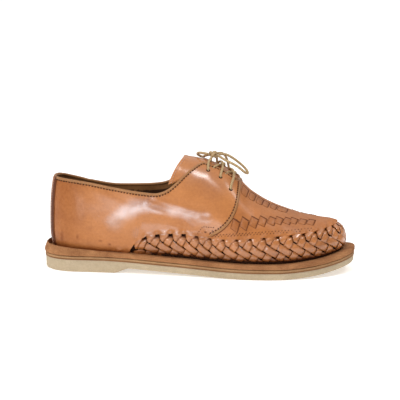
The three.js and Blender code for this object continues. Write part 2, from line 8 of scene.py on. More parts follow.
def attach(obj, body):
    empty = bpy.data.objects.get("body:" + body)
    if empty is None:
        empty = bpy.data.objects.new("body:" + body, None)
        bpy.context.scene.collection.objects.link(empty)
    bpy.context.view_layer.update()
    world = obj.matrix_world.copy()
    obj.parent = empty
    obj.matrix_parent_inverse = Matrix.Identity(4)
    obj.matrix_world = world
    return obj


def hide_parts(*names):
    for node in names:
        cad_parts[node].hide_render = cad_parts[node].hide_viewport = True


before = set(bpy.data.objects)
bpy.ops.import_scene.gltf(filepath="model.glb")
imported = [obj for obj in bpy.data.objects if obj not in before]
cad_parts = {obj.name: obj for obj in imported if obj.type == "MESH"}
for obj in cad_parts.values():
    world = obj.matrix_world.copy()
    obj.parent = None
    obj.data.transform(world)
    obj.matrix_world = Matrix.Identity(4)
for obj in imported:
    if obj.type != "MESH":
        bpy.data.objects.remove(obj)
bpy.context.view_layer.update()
print("frame loaded")

millimetre = 0.001


def deselect():
    if bpy.context.object and bpy.context.object.mode != "OBJECT":
        bpy.ops.object.mode_set(mode="OBJECT")
    bpy.ops.object.select_all(action="DESELECT")


def pick(piece):
    deselect()
    piece.select_set(True)
    bpy.context.view_layer.objects.active = piece


def aim(item, target):
    item.rotation_euler = (Vector(target) - item.location).to_track_quat("-Z", "Y").to_euler()


def setInputs(node, values):
    for socket, value in values.items():
        node.inputs[socket].default_value = value


def shaderOf(material):
    return material.node_tree.nodes["Principled BSDF"]


def startMaterial(name):
    material = bpy.data.materials.new(name)
    material.use_nodes = True
    return material, material.node_tree, shaderOf(material)


# camera at the picture's angle, then the light
cameraSetup = {
    "target": (1.25, 0.0, 66.5),
    "away": 1300.0,
    "elevation": 10.5,
    "azimuth": 5.0,
    "focalPixels": 1342.4,
    "halfPicture": 200.0,
}


def addCamera(setup):
    tilt = math.radians(setup["elevation"])
    swing = math.radians(setup["azimuth"])
    target = Vector(setup["target"]) * millimetre
    away = Vector((math.sin(swing) * math.cos(tilt), -math.cos(swing) * math.cos(tilt), math.sin(tilt)))
    deselect()
    bpy.ops.object.camera_add(location=target + away * setup["away"] * millimetre)
    camera = bpy.context.object
    camera.name = "photo_camera"
    aim(camera, target)
    camera.data.sensor_fit = "HORIZONTAL"
    camera.data.angle = 2 * math.atan(setup["halfPicture"] / setup["focalPixels"])
    bpy.context.scene.camera = camera


addCamera(cameraSetup)

studio = {
    "worldTint": (1.0, 0.99, 0.97, 1),
    "worldStrength": 0.34,
    "sunStrength": 1.2,
    "sunSpread": 110.0,
    "sunTilt": (-14.0, -16.0, 0.0),
    "floorSize": 40,
    "floorTint": (0.93, 0.93, 0.92, 1),
    "floorGlow": 0.42,
    "lights": [  # name, place, target, size, power, colour
        ("front_softbox", (-0.58, -1.53, 0.16), (-0.06, 0.0, 0.06), (0.14, 0.36), 3.1, (0.78, 0.9, 1)),
        ("key_softbox", (-0.75, -0.95, 1.0), (0.0, 0.0, 0.05), (0.4, 0.4), 6.5, (1, 1, 1)),
        ("crown_softbox", (0.1, -0.45, 1.5), (0.0, 0.0, 0.08), (0.25, 0.25), 3.0, (1, 1, 1)),
        ("side_softbox", (0.97, 0.05, 1.32), (0.06, 0.0, 0.04), (0.3, 0.3), 5.0, (1, 1, 1)),
    ],
}


def addStudio(setup):
    world = bpy.data.worlds.new("studio_world")
    bpy.context.scene.world = world
    world.use_nodes = True
    sky = {"Color": setup["worldTint"], "Strength": setup["worldStrength"]}
    setInputs(world.node_tree.nodes["Background"], sky)
    deselect()
    bpy.ops.object.light_add(type="SUN", location=(0, 0, 2))
    sun = bpy.context.object
    sun.name = "overhead_light"
    sun.data.energy = setup["sunStrength"]
    sun.data.angle = math.radians(setup["sunSpread"])
    sun.rotation_euler = [math.radians(value) for value in setup["sunTilt"]]
    for name, spot, target, size, power, tint in setup["lights"]:
        deselect()
        bpy.ops.object.light_add(type="AREA", location=spot)
        lamp = bpy.context.object
        lamp.name = name
        lamp.data.shape = "RECTANGLE"
        lamp.data.size, lamp.data.size_y = size
        lamp.data.energy = power
        lamp.data.color = tint
        aim(lamp, target)
    deselect()
    bpy.ops.mesh.primitive_plane_add(size=setup["floorSize"])
    floor = bpy.context.object
    floor.name = "studio_floor"
    paper = startMaterial("floor_paper")[0]
    setInputs(shaderOf(paper), {"Base Color": setup["floorTint"], "Roughness": 0.8,
                                "Emission Color": (1, 1, 1, 1), "Emission Strength": setup["floorGlow"]})
    floor.data.materials.append(paper)
    bpy.context.scene.view_settings.view_transform = "Standard"


addStudio(studio)
print("camera and studio set")

# the last: one table for each line, stations in millimetres from the heel
last = {
    "length": 300.0,
    "frameShift": (-148.75, 1.8435, 0.0),
    "heelInset": 7.0,
    "toeInset": 11.0,
    "heelCap": 37.0,
    "toeCap": 80.0,
    "capRoundness": 2.3,
    "fanPower": 1.15,
    "spineHeel": 36.0,
    "spineToe": 268.0,
    "tuckIn": 3.0,
    "footHeight": 7.5,
    "heelBackFullness": 0.6,
    "throatCentre": 2.0,
    "half": [
        (0, 34.5), (40, 34.8), (80, 35.8), (120, 38), (150, 42),
        (190, 49.5), (215, 52), (240, 51), (270, 47.5), (300, 43),
    ],
    "centre": [
        (0, 0), (40, 0), (80, -1.5), (120, -4), (150, -4.6),
        (190, -3.5), (215, -2), (240, -0.3), (270, 1.8), (300, 3.5),
    ],
    "margin": [
        (0, 7.2), (40, 7.4), (80, 7.4), (120, 7.4), (150, 7.2),
        (190, 7), (215, 7), (240, 7.6), (270, 8.6), (300, 9.5),
    ],
    "top": [
        (0, 12.5), (60, 12.5), (84, 11.8), (130, 9.6), (200, 7),
        (228, 7), (260, 8.9), (285, 12.8), (300, 16.2),
    ],
    "ridge": [
        (36, 118), (70, 116), (110, 112), (133, 108.5), (145, 106.8), (158, 104), (172, 98),
        (184, 89), (199, 74), (219, 62), (233, 56.6), (250, 51.4), (268, 49),
    ],
    "lean": [
        (36, 0), (70, 1), (110, 2.5), (133, 3.5), (145, 4), (199, 4), (219, 3.5), (233, 3), (268, 3),
    ],
    "bulge": [
        (36, 18), (70, 17), (110, 16), (133, 15), (219, 15), (233, 14), (250, 12), (268, 9.5),
    ],
    "fullness": [
        (36, 1.95), (70, 2.05), (110, 2.2), (133, 2.3), (145, 2.25), (158, 2.2),
        (199, 2.2), (219, 2.25), (233, 2.3), (250, 2.25), (268, 2.1),
    ],
    "toplineLateral": [
        (-12, 87.6), (6, 86.8), (20, 86.2), (36, 84.8), (67, 79.8), (95, 76), (110, 75),
        (119, 77.2), (128, 83), (139, 93), (146, 98.4), (152, 101.6), (159, 103.2), (168, 108),
    ],
    "toplineMedial": [
        (-12, 87.6), (6, 86.8), (20, 83), (36, 79.2), (67, 74.8), (95, 75.4), (110, 76.8),
        (119, 79.6), (128, 85.2), (139, 94.4), (146, 99.2), (152, 102), (159, 103.4), (168, 108),
    ],
    "band": [
        (85, 21.6), (91, 29.6), (98, 35.6), (111, 38.8), (139, 40.5), (160, 38.4), (176, 37.6),
        (201, 39), (227, 40.8), (251, 41.5), (264, 42.4), (275, 44.2), (289, 45.5),
    ],
    "throat": [(124, 16), (150, 14), (170, 13), (192, 13)],
    "tongueHalf": [(124, 29), (150, 26), (170, 21), (192, 15)],
}


def blend(first, second, share):
    return first + (second - first) * share


def eased(share):
    return share * share * (3 - 2 * share)


def ramp(value, low, high):  # 0 at low, 1 at high
    return np.clip((value - low) / (high - low), 0, 1)


def bell(distance, half):
    return np.exp(-((distance / half) ** 2))


def unit(vectors):
    return vectors / np.linalg.norm(vectors, axis=-1, keepdims=True)


def runAlong(points):  # length gone along the first axis
    steps = np.linalg.norm(np.diff(points, axis=0), axis=-1)
    return np.concatenate([0 * steps[:1], np.cumsum(steps, axis=0)])


def smoothLine(rows):  # a curve through the rows that never overshoots them
    stations, values = np.array(rows, float).T
    secant = np.diff(values) / np.diff(stations)
    slope = np.concatenate([secant[:1], np.zeros(len(rows) - 2), secant[-1:]])
    for index in range(1, len(rows) - 1):
        before, after = secant[index - 1], secant[index]
        slope[index] = 0 if before * after <= 0 else 2 * before * after / (before + after)
    dense = np.linspace(stations[0], stations[-1], 1501)
    row = np.clip(np.searchsorted(stations, dense, side="right") - 1, 0, len(rows) - 2)
    span = np.diff(stations)[row]
    share = (dense - stations[row]) / span
    bow = share * (1 - share) * (slope[row] * (1 - share) - slope[row + 1] * share) * span
    drawn = values[row] + np.diff(values)[row] * eased(share) + bow
    return lambda station: np.interp(station, dense, drawn)


lineAt = {name: smoothLine(rows) for name, rows in last.items() if isinstance(rows, list)}


def featherLine(station):
    return lineAt["top"](station) + last["footHeight"]


def rounded(share):
    clipped = np.clip(share, 0, 1)
    return (1 - clipped ** last["capRoundness"]) ** (1 / last["capRoundness"])


def lastEdge(station, side):
    heelShare = (last["heelInset"] + last["heelCap"] - station) / last["heelCap"]
    toeShare = (station - (last["length"] - last["toeInset"] - last["toeCap"])) / last["toeCap"]
    half = lineAt["half"](station) - lineAt["margin"](station)
    return lineAt["centre"](station) + side * half * rounded(heelShare) * rounded(toeShare)


# turn 0 to 1 lateral side, 1 to 2 toe, 2 to 3 medial side, 3 to 4 heel
def plainPlan(turn):
    lap = np.mod(turn, 4.0)
    sector = np.floor(lap)
    share = lap - sector
    onSide = (sector == 0) | (sector == 2)
    toeward = sector == 1
    run = np.where(sector == 0, share, 1 - share)
    sideStation = blend(last["spineHeel"], last["spineToe"], run)
    swing = np.sin(np.pi * (share - 0.5))
    reach = np.sqrt(np.maximum(0, 1 - swing * swing))
    pole = np.where(toeward, last["spineToe"], last["spineHeel"])
    tip = np.where(toeward, last["length"] - last["toeInset"], last["heelInset"])
    station = np.where(onSide, sideStation, blend(pole, tip, reach ** last["fanPower"]))
    fanSide = np.where(swing < 0, -1, 1) * np.where(toeward, 1, -1)
    side = np.where(onSide, np.where(sector == 0, -1, 1), fanSide)
    edge = np.stack([station, lastEdge(station, side)], -1)
    spineX = np.where(onSide, sideStation, pole)
    return np.stack([spineX, lineAt["lean"](spineX)], -1), edge


def stationAt(turn):
    return plainPlan(turn)[1][..., 0]


def planAt(turn, offset):
    step = 0.004
    spine, edge = plainPlan(turn)
    along = unit(plainPlan(turn + step)[1] - plainPlan(turn - step)[1])
    outward = np.stack([along[..., 1], -along[..., 0]], -1)
    return spine, edge + outward * np.asarray(offset, float)[..., None]


def footLine(turn, station=None):
    station = stationAt(turn) if station is None else station
    return featherLine(np.minimum(station, last["length"] - last["toeInset"]))


def sectionAt(turn, offset):
    spine, edge = planAt(turn, offset)
    backward = (last["spineHeel"] - edge[..., 0]) / (last["spineHeel"] - last["heelInset"])
    fullness = lineAt["fullness"](spine[..., 0]) + last["heelBackFullness"] * np.maximum(0, backward)
    bulge = lineAt["bulge"](spine[..., 0])
    ridge = lineAt["ridge"](spine[..., 0]) + offset
    return spine, edge, fullness, bulge, footLine(turn, edge[..., 0]), ridge


# rise -1 is the feather edge, 0 the widest line, 1 the ridge
def skin(turn, rise, offset):
    turn, rise, offset = np.broadcast_arrays(*[np.asarray(part, float) for part in (turn, rise, offset)])
    spine, edge, fullness, bulge, feather, ridge = sectionAt(turn, offset)
    reach = np.linalg.norm(edge - spine, axis=-1)
    angle = np.clip(rise, 0, 1) * np.pi / 2
    upShare = np.maximum(np.cos(angle), 0) ** (2 / fullness)
    upHeight = blend(feather + bulge, ridge, np.sin(angle) ** (2 / fullness))
    share = np.where(rise > 0, upShare, 1 - last["tuckIn"] / reach * rise * rise)
    height = np.where(rise > 0, upHeight, feather + bulge * (1 + rise))
    return np.concatenate([blend(spine, edge, share[..., None]), height[..., None]], -1)


def riseAt(turn, height):
    turn, height = np.broadcast_arrays(np.asarray(turn, float), np.asarray(height, float))
    fullness, bulge, feather, ridge = sectionAt(turn, np.zeros(turn.shape))[2:]
    widest = feather + bulge
    above = np.arcsin(ramp(height, widest, ridge) ** (fullness / 2)) * 2 / np.pi
    return np.where(height <= widest, (height - widest) / bulge, above)


def spineShare(station):
    return (np.asarray(station, float) - last["spineHeel"]) / (last["spineToe"] - last["spineHeel"])


def sideTurn(station, side):
    return spineShare(station) + 4 if side < 0 else 3 - spineShare(station)


def sidePlaces(station, height, side):
    turn = sideTurn(station, side)
    return np.stack([turn, riseAt(turn, height)], -1)


def topPlace(station, across):
    station, across = np.broadcast_arrays(np.asarray(station, float), np.asarray(across, float))
    lean = lineAt["lean"](station)
    share = spineShare(station)
    turn = np.where(across < lean, share, 3 - share)
    edge = plainPlan(turn)[1]
    reach = np.clip(np.abs((across - lean) / (edge[..., 1] - lean)), 0, 1)
    return turn, np.arccos(reach ** (lineAt["fullness"](station) / 2)) * 2 / np.pi


def inFrame(points):
    return (np.asarray(points, float) + np.array(last["frameShift"])) * millimetre


def fromFrame(points):
    return points / millimetre - np.array(last["frameShift"])


def skinNormal(turn, rise, offset):
    turnStep, riseStep = 0.002, 0.01
    along = skin(turn + turnStep, rise, offset) - skin(turn - turnStep, rise, offset)
    rise = np.clip(rise, -0.99, 0.985)
    up = skin(turn, rise + riseStep, offset) - skin(turn, rise - riseStep, offset)
    return unit(np.cross(along, up))


# meshes: a grid draped over places, and bundles of closed tubes
def drape(name, places, materials):
    rows, columns = places.shape[:2]
    deselect()
    bpy.ops.mesh.primitive_grid_add(x_subdivisions=columns - 1, y_subdivisions=rows - 1, size=1)
    piece = bpy.context.object
    piece.name = name
    piece.data.vertices.foreach_set("co", inFrame(places).reshape(-1).astype(np.float32))
    piece.data.update()
    bpy.ops.object.mode_set(mode="EDIT")
    bpy.ops.mesh.select_all(action="SELECT")
    bpy.ops.mesh.remove_doubles(threshold=0.000004)
    bpy.ops.object.mode_set(mode="OBJECT")
    bpy.ops.object.shade_smooth()
    for material in materials:
        piece.data.materials.append(material)
    return piece


def thicken(piece, wall, inner=0, rim=0):
    pick(piece)
    change = piece.modifiers.new("wall", "SOLIDIFY")
    change.thickness = wall * millimetre
    change.offset = -1
    change.material_offset = inner
    change.material_offset_rim = rim
    bpy.ops.object.modifier_apply(modifier="wall")


def smoothBy(piece, degrees):
    pick(piece)
    bpy.ops.object.shade_smooth_by_angle(angle=math.radians(degrees))


def cutBy(piece, cutter):
    pick(piece)
    change = piece.modifiers.new("cut", "BOOLEAN")
    change.operation = "DIFFERENCE"
    change.solver = "MANIFOLD"
    change.object = cutter
    bpy.ops.object.modifier_apply(modifier="cut")
    bpy.data.objects.remove(cutter)


def pointsOf(piece):  # a piece's points in the last's millimetres
    points = np.empty(len(piece.data.vertices) * 3, np.float32)
    piece.data.vertices.foreach_get("co", points)
    return fromFrame(points.reshape(-1, 3))


def paint(piece, name, values):
    layer = piece.data.attributes.new(name, "FLOAT", "POINT")
    layer.data.foreach_set("value", values.astype(np.float32))


def bundle(name, tubes, material, shades=None):
    points, faces, uvs, shadeList = [], [], [], []
    start = 0
    for number, tube in enumerate(tubes):
        rings, around = tube.shape[:2]
        middle = tube.mean(axis=1)
        length = runAlong(middle) * 0.1
        points.append(np.concatenate([tube.reshape(-1, 3), middle[:1], middle[-1:]]))
        shade = shades[number] if shades is not None else np.zeros((rings, around))
        shadeList.append(np.concatenate([shade.reshape(-1), [shade[0].mean(), shade[-1].mean()]]))
        for ring in range(rings - 1):
            here, there = start + ring * around, start + (ring + 1) * around
            near, far = length[ring], length[ring + 1]
            for turn in range(around):
                beside = (turn + 1) % around
                faces.append((here + turn, here + beside, there + beside, there + turn))
                low, high = turn / around, (turn + 1) / around
                uvs += [(low, near), (high, near), (high, far), (low, far)]
        foot = start + rings * around
        head = foot - around
        for turn in range(around):
            beside = (turn + 1) % around
            faces += [(start + beside, start + turn, foot), (head + turn, head + beside, foot + 1)]
            uvs += [(0.5, length[0])] * 3 + [(0.5, length[-1])] * 3
        start = foot + 2
    mesh = bpy.data.meshes.new(name)
    mesh.from_pydata(inFrame(np.concatenate(points)).tolist(), [], faces)
    layer = mesh.uv_layers.new(name="run")
    layer.data.foreach_set("uv", np.array(uvs, np.float32).reshape(-1))
    piece = bpy.data.objects.new(name, mesh)
    paint(piece, "shade", np.concatenate(shadeList))
    bpy.context.scene.collection.objects.link(piece)
    pick(piece)
    bpy.ops.object.mode_set(mode="EDIT")
    bpy.ops.mesh.select_all(action="SELECT")
    bpy.ops.mesh.normals_make_consistent(inside=False)
    bpy.ops.object.mode_set(mode="OBJECT")
    bpy.ops.object.shade_smooth()
    mesh.materials.append(material)
    return piece


def sweep(path, normals, thick, wide, around=10, roundEnds=False):
    tangent = unit(np.gradient(path, axis=0))
    normals = unit(normals - tangent * np.sum(normals * tangent, axis=1, keepdims=True))
    beside = np.cross(tangent, normals)
    angle = np.linspace(0, 2 * np.pi, around, endpoint=False)[None, :, None]
    ring = np.cos(angle) * normals[:, None] * thick + np.sin(angle) * beside[:, None] * wide
    scale = np.ones((len(path), 1, 1))
    if roundEnds:
        scale[[0, -1]] = 0.45
    return path[:, None] + ring * scale


def sweepOver(places, offset, thick, wide, around=8):
    turn, rise = places[:, 0], places[:, 1]
    return sweep(skin(turn, rise, offset), skinNormal(turn, rise, offset), thick, wide, around)


tilted = np.array((0.3, 0.2, 1.0))  # a direction no cord runs in


def carriedNormals(path):
    tangent = unit(np.gradient(path, axis=0))
    normal = np.cross(tangent[0], tilted)
    carried = []
    for step in tangent:
        normal = unit(normal - step * np.dot(normal, step))
        carried.append(normal)
    return np.array(carried)


def cordWay(points, steps=12):  # an even curve through the points
    points = np.asarray(points, float)
    points = np.vstack([2 * points[0] - points[1], points, 2 * points[-1] - points[-2]])
    way = []
    for index in range(len(points) - 3):
        four = points[index:index + 4]
        gaps = np.maximum(1e-6, np.linalg.norm(np.diff(four, axis=0), axis=1))
        knots = np.concatenate([[0], np.cumsum(gaps**0.5)])
        for at in np.linspace(knots[1], knots[2], steps, endpoint=False):
            def mix(first, second, low, high):
                return blend(first, second, (at - knots[low]) / (knots[high] - knots[low]))

            ab, bc, cd = [mix(four[leg], four[leg + 1], leg, leg + 1) for leg in range(3)]
            way.append(mix(mix(ab, bc, 0, 2), mix(bc, cd, 1, 3), 1, 2))
    way.append(points[-2])
    return np.array(way)


def finishPiece(piece, slot, *nodes):
    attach(piece, "root")
    if nodes:
        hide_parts(*nodes)


print("last and mesh helpers ready")


# finishes
def shaderGroup(name, inputs, outputs):
    group = bpy.data.node_groups.new(name, "ShaderNodeTree")
    for label, kind, value in inputs:
        socket = group.interface.new_socket(name=label, in_out="INPUT", socket_type=kind)
        socket.default_value = value
    for label, kind in outputs:
        group.interface.new_socket(name=label, in_out="OUTPUT", socket_type=kind)
    return group, group.nodes.new("NodeGroupInput").outputs, group.nodes.new("NodeGroupOutput").inputs


def feed(tree, socket, value):  # a fixed value or a link
    if isinstance(value, (int, float, tuple)):
        socket.default_value = value
    else:
        tree.links.new(value, socket)


def addNoise(tree, place, scale, detail, roughness):
    node = tree.nodes.new("ShaderNodeTexNoise")
    for name, value in (("Vector", place), ("Scale", scale), ("Detail", detail), ("Roughness", roughness)):
        feed(tree, node.inputs[name], value)
    return node.outputs["Fac"]


def addMath(tree, operation, first, second=0):
    node = tree.nodes.new("ShaderNodeMath")
    node.operation = operation
    feed(tree, node.inputs[0], first)
    feed(tree, node.inputs[1], second)
    return node.outputs[0]


def addMix(tree, factor, first, second):
    node = tree.nodes.new("ShaderNodeMix")
    node.data_type = "RGBA"
    for index, value in ((0, factor), (6, first), (7, second)):
        feed(tree, node.inputs[index], value)
    return node.outputs[2]


def addSpread(tree, value, low, high, toLow=0.0, toHigh=1.0):
    node = tree.nodes.new("ShaderNodeMapRange")
    setInputs(node, {"From Min": low, "From Max": high, "To Min": toLow, "To Max": toHigh})
    tree.links.new(value, node.inputs["Value"])
    return node.outputs[0]


def addAttribute(tree, name):
    node = tree.nodes.new("ShaderNodeAttribute")
    node.attribute_name = name
    return node.outputs["Fac"]


toneInputs = [
    ("Light Tone", "NodeSocketColor", (0.6, 0.3, 0.13, 1)),
    ("Deep Tone", "NodeSocketColor", (0.3, 0.1, 0.03, 1)),
]


def makeHideGroup():
    group, given, result = shaderGroup(
        "HideSurface",
        toneInputs + [("Grain Scale", "NodeSocketFloat", 700.0), ("Mottle", "NodeSocketFloat", 0.5),
                      ("Gloss", "NodeSocketFloat", 0.35), ("Wrinkle", "NodeSocketFloat", 0.0)],
        [("Color", "NodeSocketColor"), ("Roughness", "NodeSocketFloat"), ("Height", "NodeSocketFloat")])
    place = group.nodes.new("ShaderNodeTexCoord").outputs["Object"]
    cloud = addNoise(group, place, 38.0, 4.0, 0.6)
    speck = addNoise(group, place, 420.0, 3.0, 0.6)
    fine = addNoise(group, place, 1600.0, 2.0, 0.5)
    cells = group.nodes.new("ShaderNodeTexVoronoi")
    cells.feature = "DISTANCE_TO_EDGE"
    group.links.new(place, cells.inputs["Vector"])
    group.links.new(given["Grain Scale"], cells.inputs["Scale"])
    pores = addSpread(group, cells.outputs["Distance"], 0.0, 0.12)
    flat = group.nodes.new("ShaderNodeMapping")
    flat.inputs["Scale"].default_value = (0.11, 0.11, 1.0)
    group.links.new(place, flat.inputs["Vector"])
    streak = addNoise(group, flat.outputs["Vector"], 430.0, 3.0, 0.6)
    blotch = addMath(group, "MULTIPLY", addSpread(group, cloud, 0.32, 0.72), given["Mottle"])
    dark = addMath(group, "ADD", blotch, addSpread(group, speck, 0.35, 0.75, 0.0, 0.22))
    # painted shade: the mesh's shade attribute darkens the colour toward the deep tone
    dark = addSpread(group, addMath(group, "ADD", dark, addAttribute(group, "shade")), 0.0, 1.0)
    colour = addMix(group, dark, given["Light Tone"], given["Deep Tone"])
    rough = addMath(group, "ADD", given["Gloss"], addSpread(group, speck, 0.3, 0.7, -0.06, 0.1))
    height = addMath(group, "MULTIPLY", pores, 0.35)
    for relief, strength in ((fine, 0.2), (streak, given["Wrinkle"])):
        height = addMath(group, "ADD", height, addMath(group, "MULTIPLY", relief, strength))
    for name, value in (("Color", colour), ("Roughness", rough), ("Height", height)):
        group.links.new(value, result[name])
    return group


def makeNapGroup():
    group, given, result = shaderGroup(
        "RawNap",
        toneInputs + [("Fibre Scale", "NodeSocketFloat", 900.0), ("Stain", "NodeSocketFloat", 0.5)],
        [("Color", "NodeSocketColor"), ("Height", "NodeSocketFloat")])
    place = group.nodes.new("ShaderNodeTexCoord").outputs["Object"]
    stain = addNoise(group, place, 55.0, 5.0, 0.65)
    fibre = addNoise(group, place, given["Fibre Scale"], 4.0, 0.7)
    blotch = addMath(group, "MULTIPLY", addSpread(group, stain, 0.35, 0.7), given["Stain"])
    dark = addMath(group, "ADD", blotch, addSpread(group, fibre, 0.3, 0.7, 0.0, 0.45))
    dark = addSpread(group, addMath(group, "ADD", dark, addAttribute(group, "shade")), 0.0, 1.0)
    group.links.new(addMix(group, dark, given["Light Tone"], given["Deep Tone"]), result["Color"])
    group.links.new(fibre, result["Height"])
    return group


hideGroup = makeHideGroup()
napGroup = makeNapGroup()


def addBump(tree, shader, height, strength, distance):
    bump = tree.nodes.new("ShaderNodeBump")
    setInputs(bump, {"Strength": strength, "Distance": distance})
    tree.links.new(height, bump.inputs["Height"])
    tree.links.new(bump.outputs["Normal"], shader.inputs["Normal"])


def addSurface(tree, group, light, deep, values):
    surface = tree.nodes.new("ShaderNodeGroup")
    surface.node_tree = group
    setInputs(surface, {"Light Tone": (*light, 1), "Deep Tone": (*deep, 1), **values})
    return surface.outputs


def hideMaterial(name, light, deep, gloss, mottle=0.5, coat=0.0, grain=700.0, wrinkle=0.0):
    material, tree, shader = startMaterial(name)
    values = {"Grain Scale": grain, "Mottle": mottle, "Gloss": gloss, "Wrinkle": wrinkle}
    surface = addSurface(tree, hideGroup, light, deep, values)
    tree.links.new(surface["Color"], shader.inputs["Base Color"])
    tree.links.new(surface["Roughness"], shader.inputs["Roughness"])
    setInputs(shader, {"Specular IOR Level": 0.18, "Coat Weight": coat, "Coat Roughness": 0.22})
    addBump(tree, shader, surface["Height"], 0.3, 0.0002)
    return material


def napMaterial(name, light, deep, stain, fibre=900.0, bump=0.6):
    material, tree, shader = startMaterial(name)
    surface = addSurface(tree, napGroup, light, deep, {"Fibre Scale": fibre, "Stain": stain})
    tree.links.new(surface["Color"], shader.inputs["Base Color"])
    setInputs(shader, {"Roughness": 0.88, "Specular IOR Level": 0.25})
    addBump(tree, shader, surface["Height"], bump, 0.0005)
    return material


def cordMaterial(name, light, deep):
    material, tree, shader = startMaterial(name)
    run = tree.nodes.new("ShaderNodeUVMap")
    run.uv_map = "run"
    turned = tree.nodes.new("ShaderNodeMapping")
    turned.inputs["Scale"].default_value = (4.0, 5.5, 1.0)
    tree.links.new(run.outputs["UV"], turned.inputs["Vector"])
    split = tree.nodes.new("ShaderNodeSeparateXYZ")
    tree.links.new(turned.outputs["Vector"], split.inputs[0])
    waves = []
    for operation in ("ADD", "SUBTRACT"):
        slant = addMath(tree, operation, split.outputs[0], split.outputs[1])
        waves.append(addMath(tree, "SINE", addMath(tree, "MULTIPLY", slant, 6.2832)))
    braid = addMath(tree, "MAXIMUM", *waves)
    # painted shade: darker in the grooves between the braid's strands
    tone = addSpread(tree, braid, -0.3, 1.0, 1.0, 0.0)
    tree.links.new(addMix(tree, tone, (*light, 1), (*deep, 1)), shader.inputs["Base Color"])
    shader.inputs["Roughness"].default_value = 0.75
    addBump(tree, shader, braid, 0.5, 0.0004)
    return material


def polishByHand(material):  # gloss painted on the mesh
    tree = material.node_tree
    tree.links.new(addAttribute(tree, "polish"), shaderOf(material).inputs["Coat Weight"])


def dullInShade(material, coat):  # no gloss where the mesh is painted dark
    tree = material.node_tree
    shine = addSpread(tree, addAttribute(tree, "shade"), 0.2, 0.65, coat, 0.0)
    tree.links.new(shine, shaderOf(material).inputs["Coat Weight"])


# light tone, deep tone, gloss, mottle, coat, grain, wrinkle
tan = ((0.56, 0.215, 0.064), (0.27, 0.078, 0.018))
tanHide = hideMaterial("tan_hide", *tan, 0.4, 0.4, 0.7, 700.0, 1.3)
quarterHide = hideMaterial("quarter_hide", *tan, 0.4, 0.4, 1.0, 700.0, 2.6)
polishByHand(quarterHide)
setInputs(shaderOf(quarterHide), {"Coat IOR": 1.9})
# a darker copy of the tan: painted shade for the vamp, which faces up, away from the frontal light
vampShadedHide = hideMaterial("vamp_shaded_hide", (0.5, 0.178, 0.048), (0.23, 0.064, 0.014), 0.45, 0.4, 0.32, 700.0, 0.5)
setInputs(shaderOf(vampShadedHide), {"Coat Roughness": 0.36})
# a darker copy of the tan, its deep tone near-black, for painted shade on the backstay
heelShadeHide = hideMaterial("heel_shade_hide", (0.5, 0.185, 0.055), (0.1, 0.026, 0.008), 0.5, 0.4, 0.12)
# deep tone near-black for the painted shade on the straps
strapHide = hideMaterial("strap_hide", (0.6, 0.215, 0.056), (0.1, 0.025, 0.006), 0.35, 0.35)
dullInShade(strapHide, 0.85)
setInputs(shaderOf(strapHide), {"Coat IOR": 1.7})
bindingHide = hideMaterial("binding_hide", (0.41, 0.19, 0.072), (0.2, 0.08, 0.026), 0.42, 0.4, 0.15, 900.0)
liningHide = hideMaterial("lining_hide", (0.115, 0.05, 0.022), (0.04, 0.015, 0.007), 0.6, 0.6)
# painted shadow: near-black hide for the band's backing and the eyelet discs
shadowDark = hideMaterial("painted_shadow_dark", (0.045, 0.013, 0.004), (0.015, 0.004, 0.001), 0.8, 0.5)
seamTan = hideMaterial("seam_tan", (0.27, 0.12, 0.048), (0.15, 0.06, 0.022), 0.7, 0.6)
# painted shade: dark brown for the lines along the vamp slits and strip outlines, beside the backstay edges
# and beside the front edges
shadeLineBrown = hideMaterial("shade_line_brown", (0.16, 0.048, 0.014), (0.08, 0.022, 0.006), 0.6, 0.5)
threadBrown = hideMaterial("thread_brown", (0.1, 0.032, 0.01), (0.05, 0.015, 0.005), 0.6, 0.3)
threadPink = hideMaterial("thread_pink", (0.62, 0.38, 0.28), (0.4, 0.2, 0.13), 0.6, 0.3)
# light tone, deep tone, stain, fibre, bump
weltHide = napMaterial("welt_nap", (0.5, 0.235, 0.098), (0.19, 0.07, 0.024), 0.6)
boardHide = napMaterial("midsole_board", (0.5, 0.29, 0.14), (0.25, 0.125, 0.055), 0.5)
rubberCream = napMaterial("sole_rubber", (0.56, 0.445, 0.303), (0.375, 0.285, 0.18), 0.45, 600.0, 0.18)
laceCotton = cordMaterial("lace_cotton", (0.6, 0.42, 0.215), (0.29, 0.18, 0.08))
print("finishes mixed")

# sole: rings of the plan drawn in by an inset, each lifted off its layer's line
sole = {
    "rubberThickness": 7.0,
    "breastTop": 84.0,
    "breastFoot": 72.0,
    "heelTail": 2.5,
    "lipHeight": 4.5,
    "lipReach": 80.0,
    "ringSteps": 150,
    "capShares": (0.8, 0.5, 0.2, 0.0),
    "outsole": [  # inset, lift, share of the way up from tread to rubber top
        (3.4, 0.0, 0), (2.4, 0.12, 0), (1.7, 0.55, 0), (1.25, 1.3, 0),
        (1.1, 0.0, 0.5), (0.85, -0.9, 1), (1.1, -0.35, 1),
    ],
    "midsole": [(1.0, -0.02), (0.65, 0.35), (0.5, 1.5), (0.6, 2.4), (1.2, 2.7)],
    "seam": [(1.6, -0.55), (0.6, -0.5), (0.42, 0.1), (0.45, 0.65), (1.6, 0.7)],
    "welt": [  # inset, lift, share of the heel's lip
        (1.3, -4.5, 0), (0.45, -4.25, 0), (0.0, -3.4, 0), (-0.1, -2.2, 0), (0.05, -0.9, 0),
        (0.45, -0.25, 0.1), (1.0, 0, 0.35), (1.6, 0, 0.75), (2.3, 0, 0.99), (2.9, 0, 1),
        (3.5, 0, 0.5), (4.2, -0.3, 0),
    ],
    "insole": [(3.9, 0.35), (3.5, 0.8), (3.5, 2.4), (4.2, 3.0)],
}


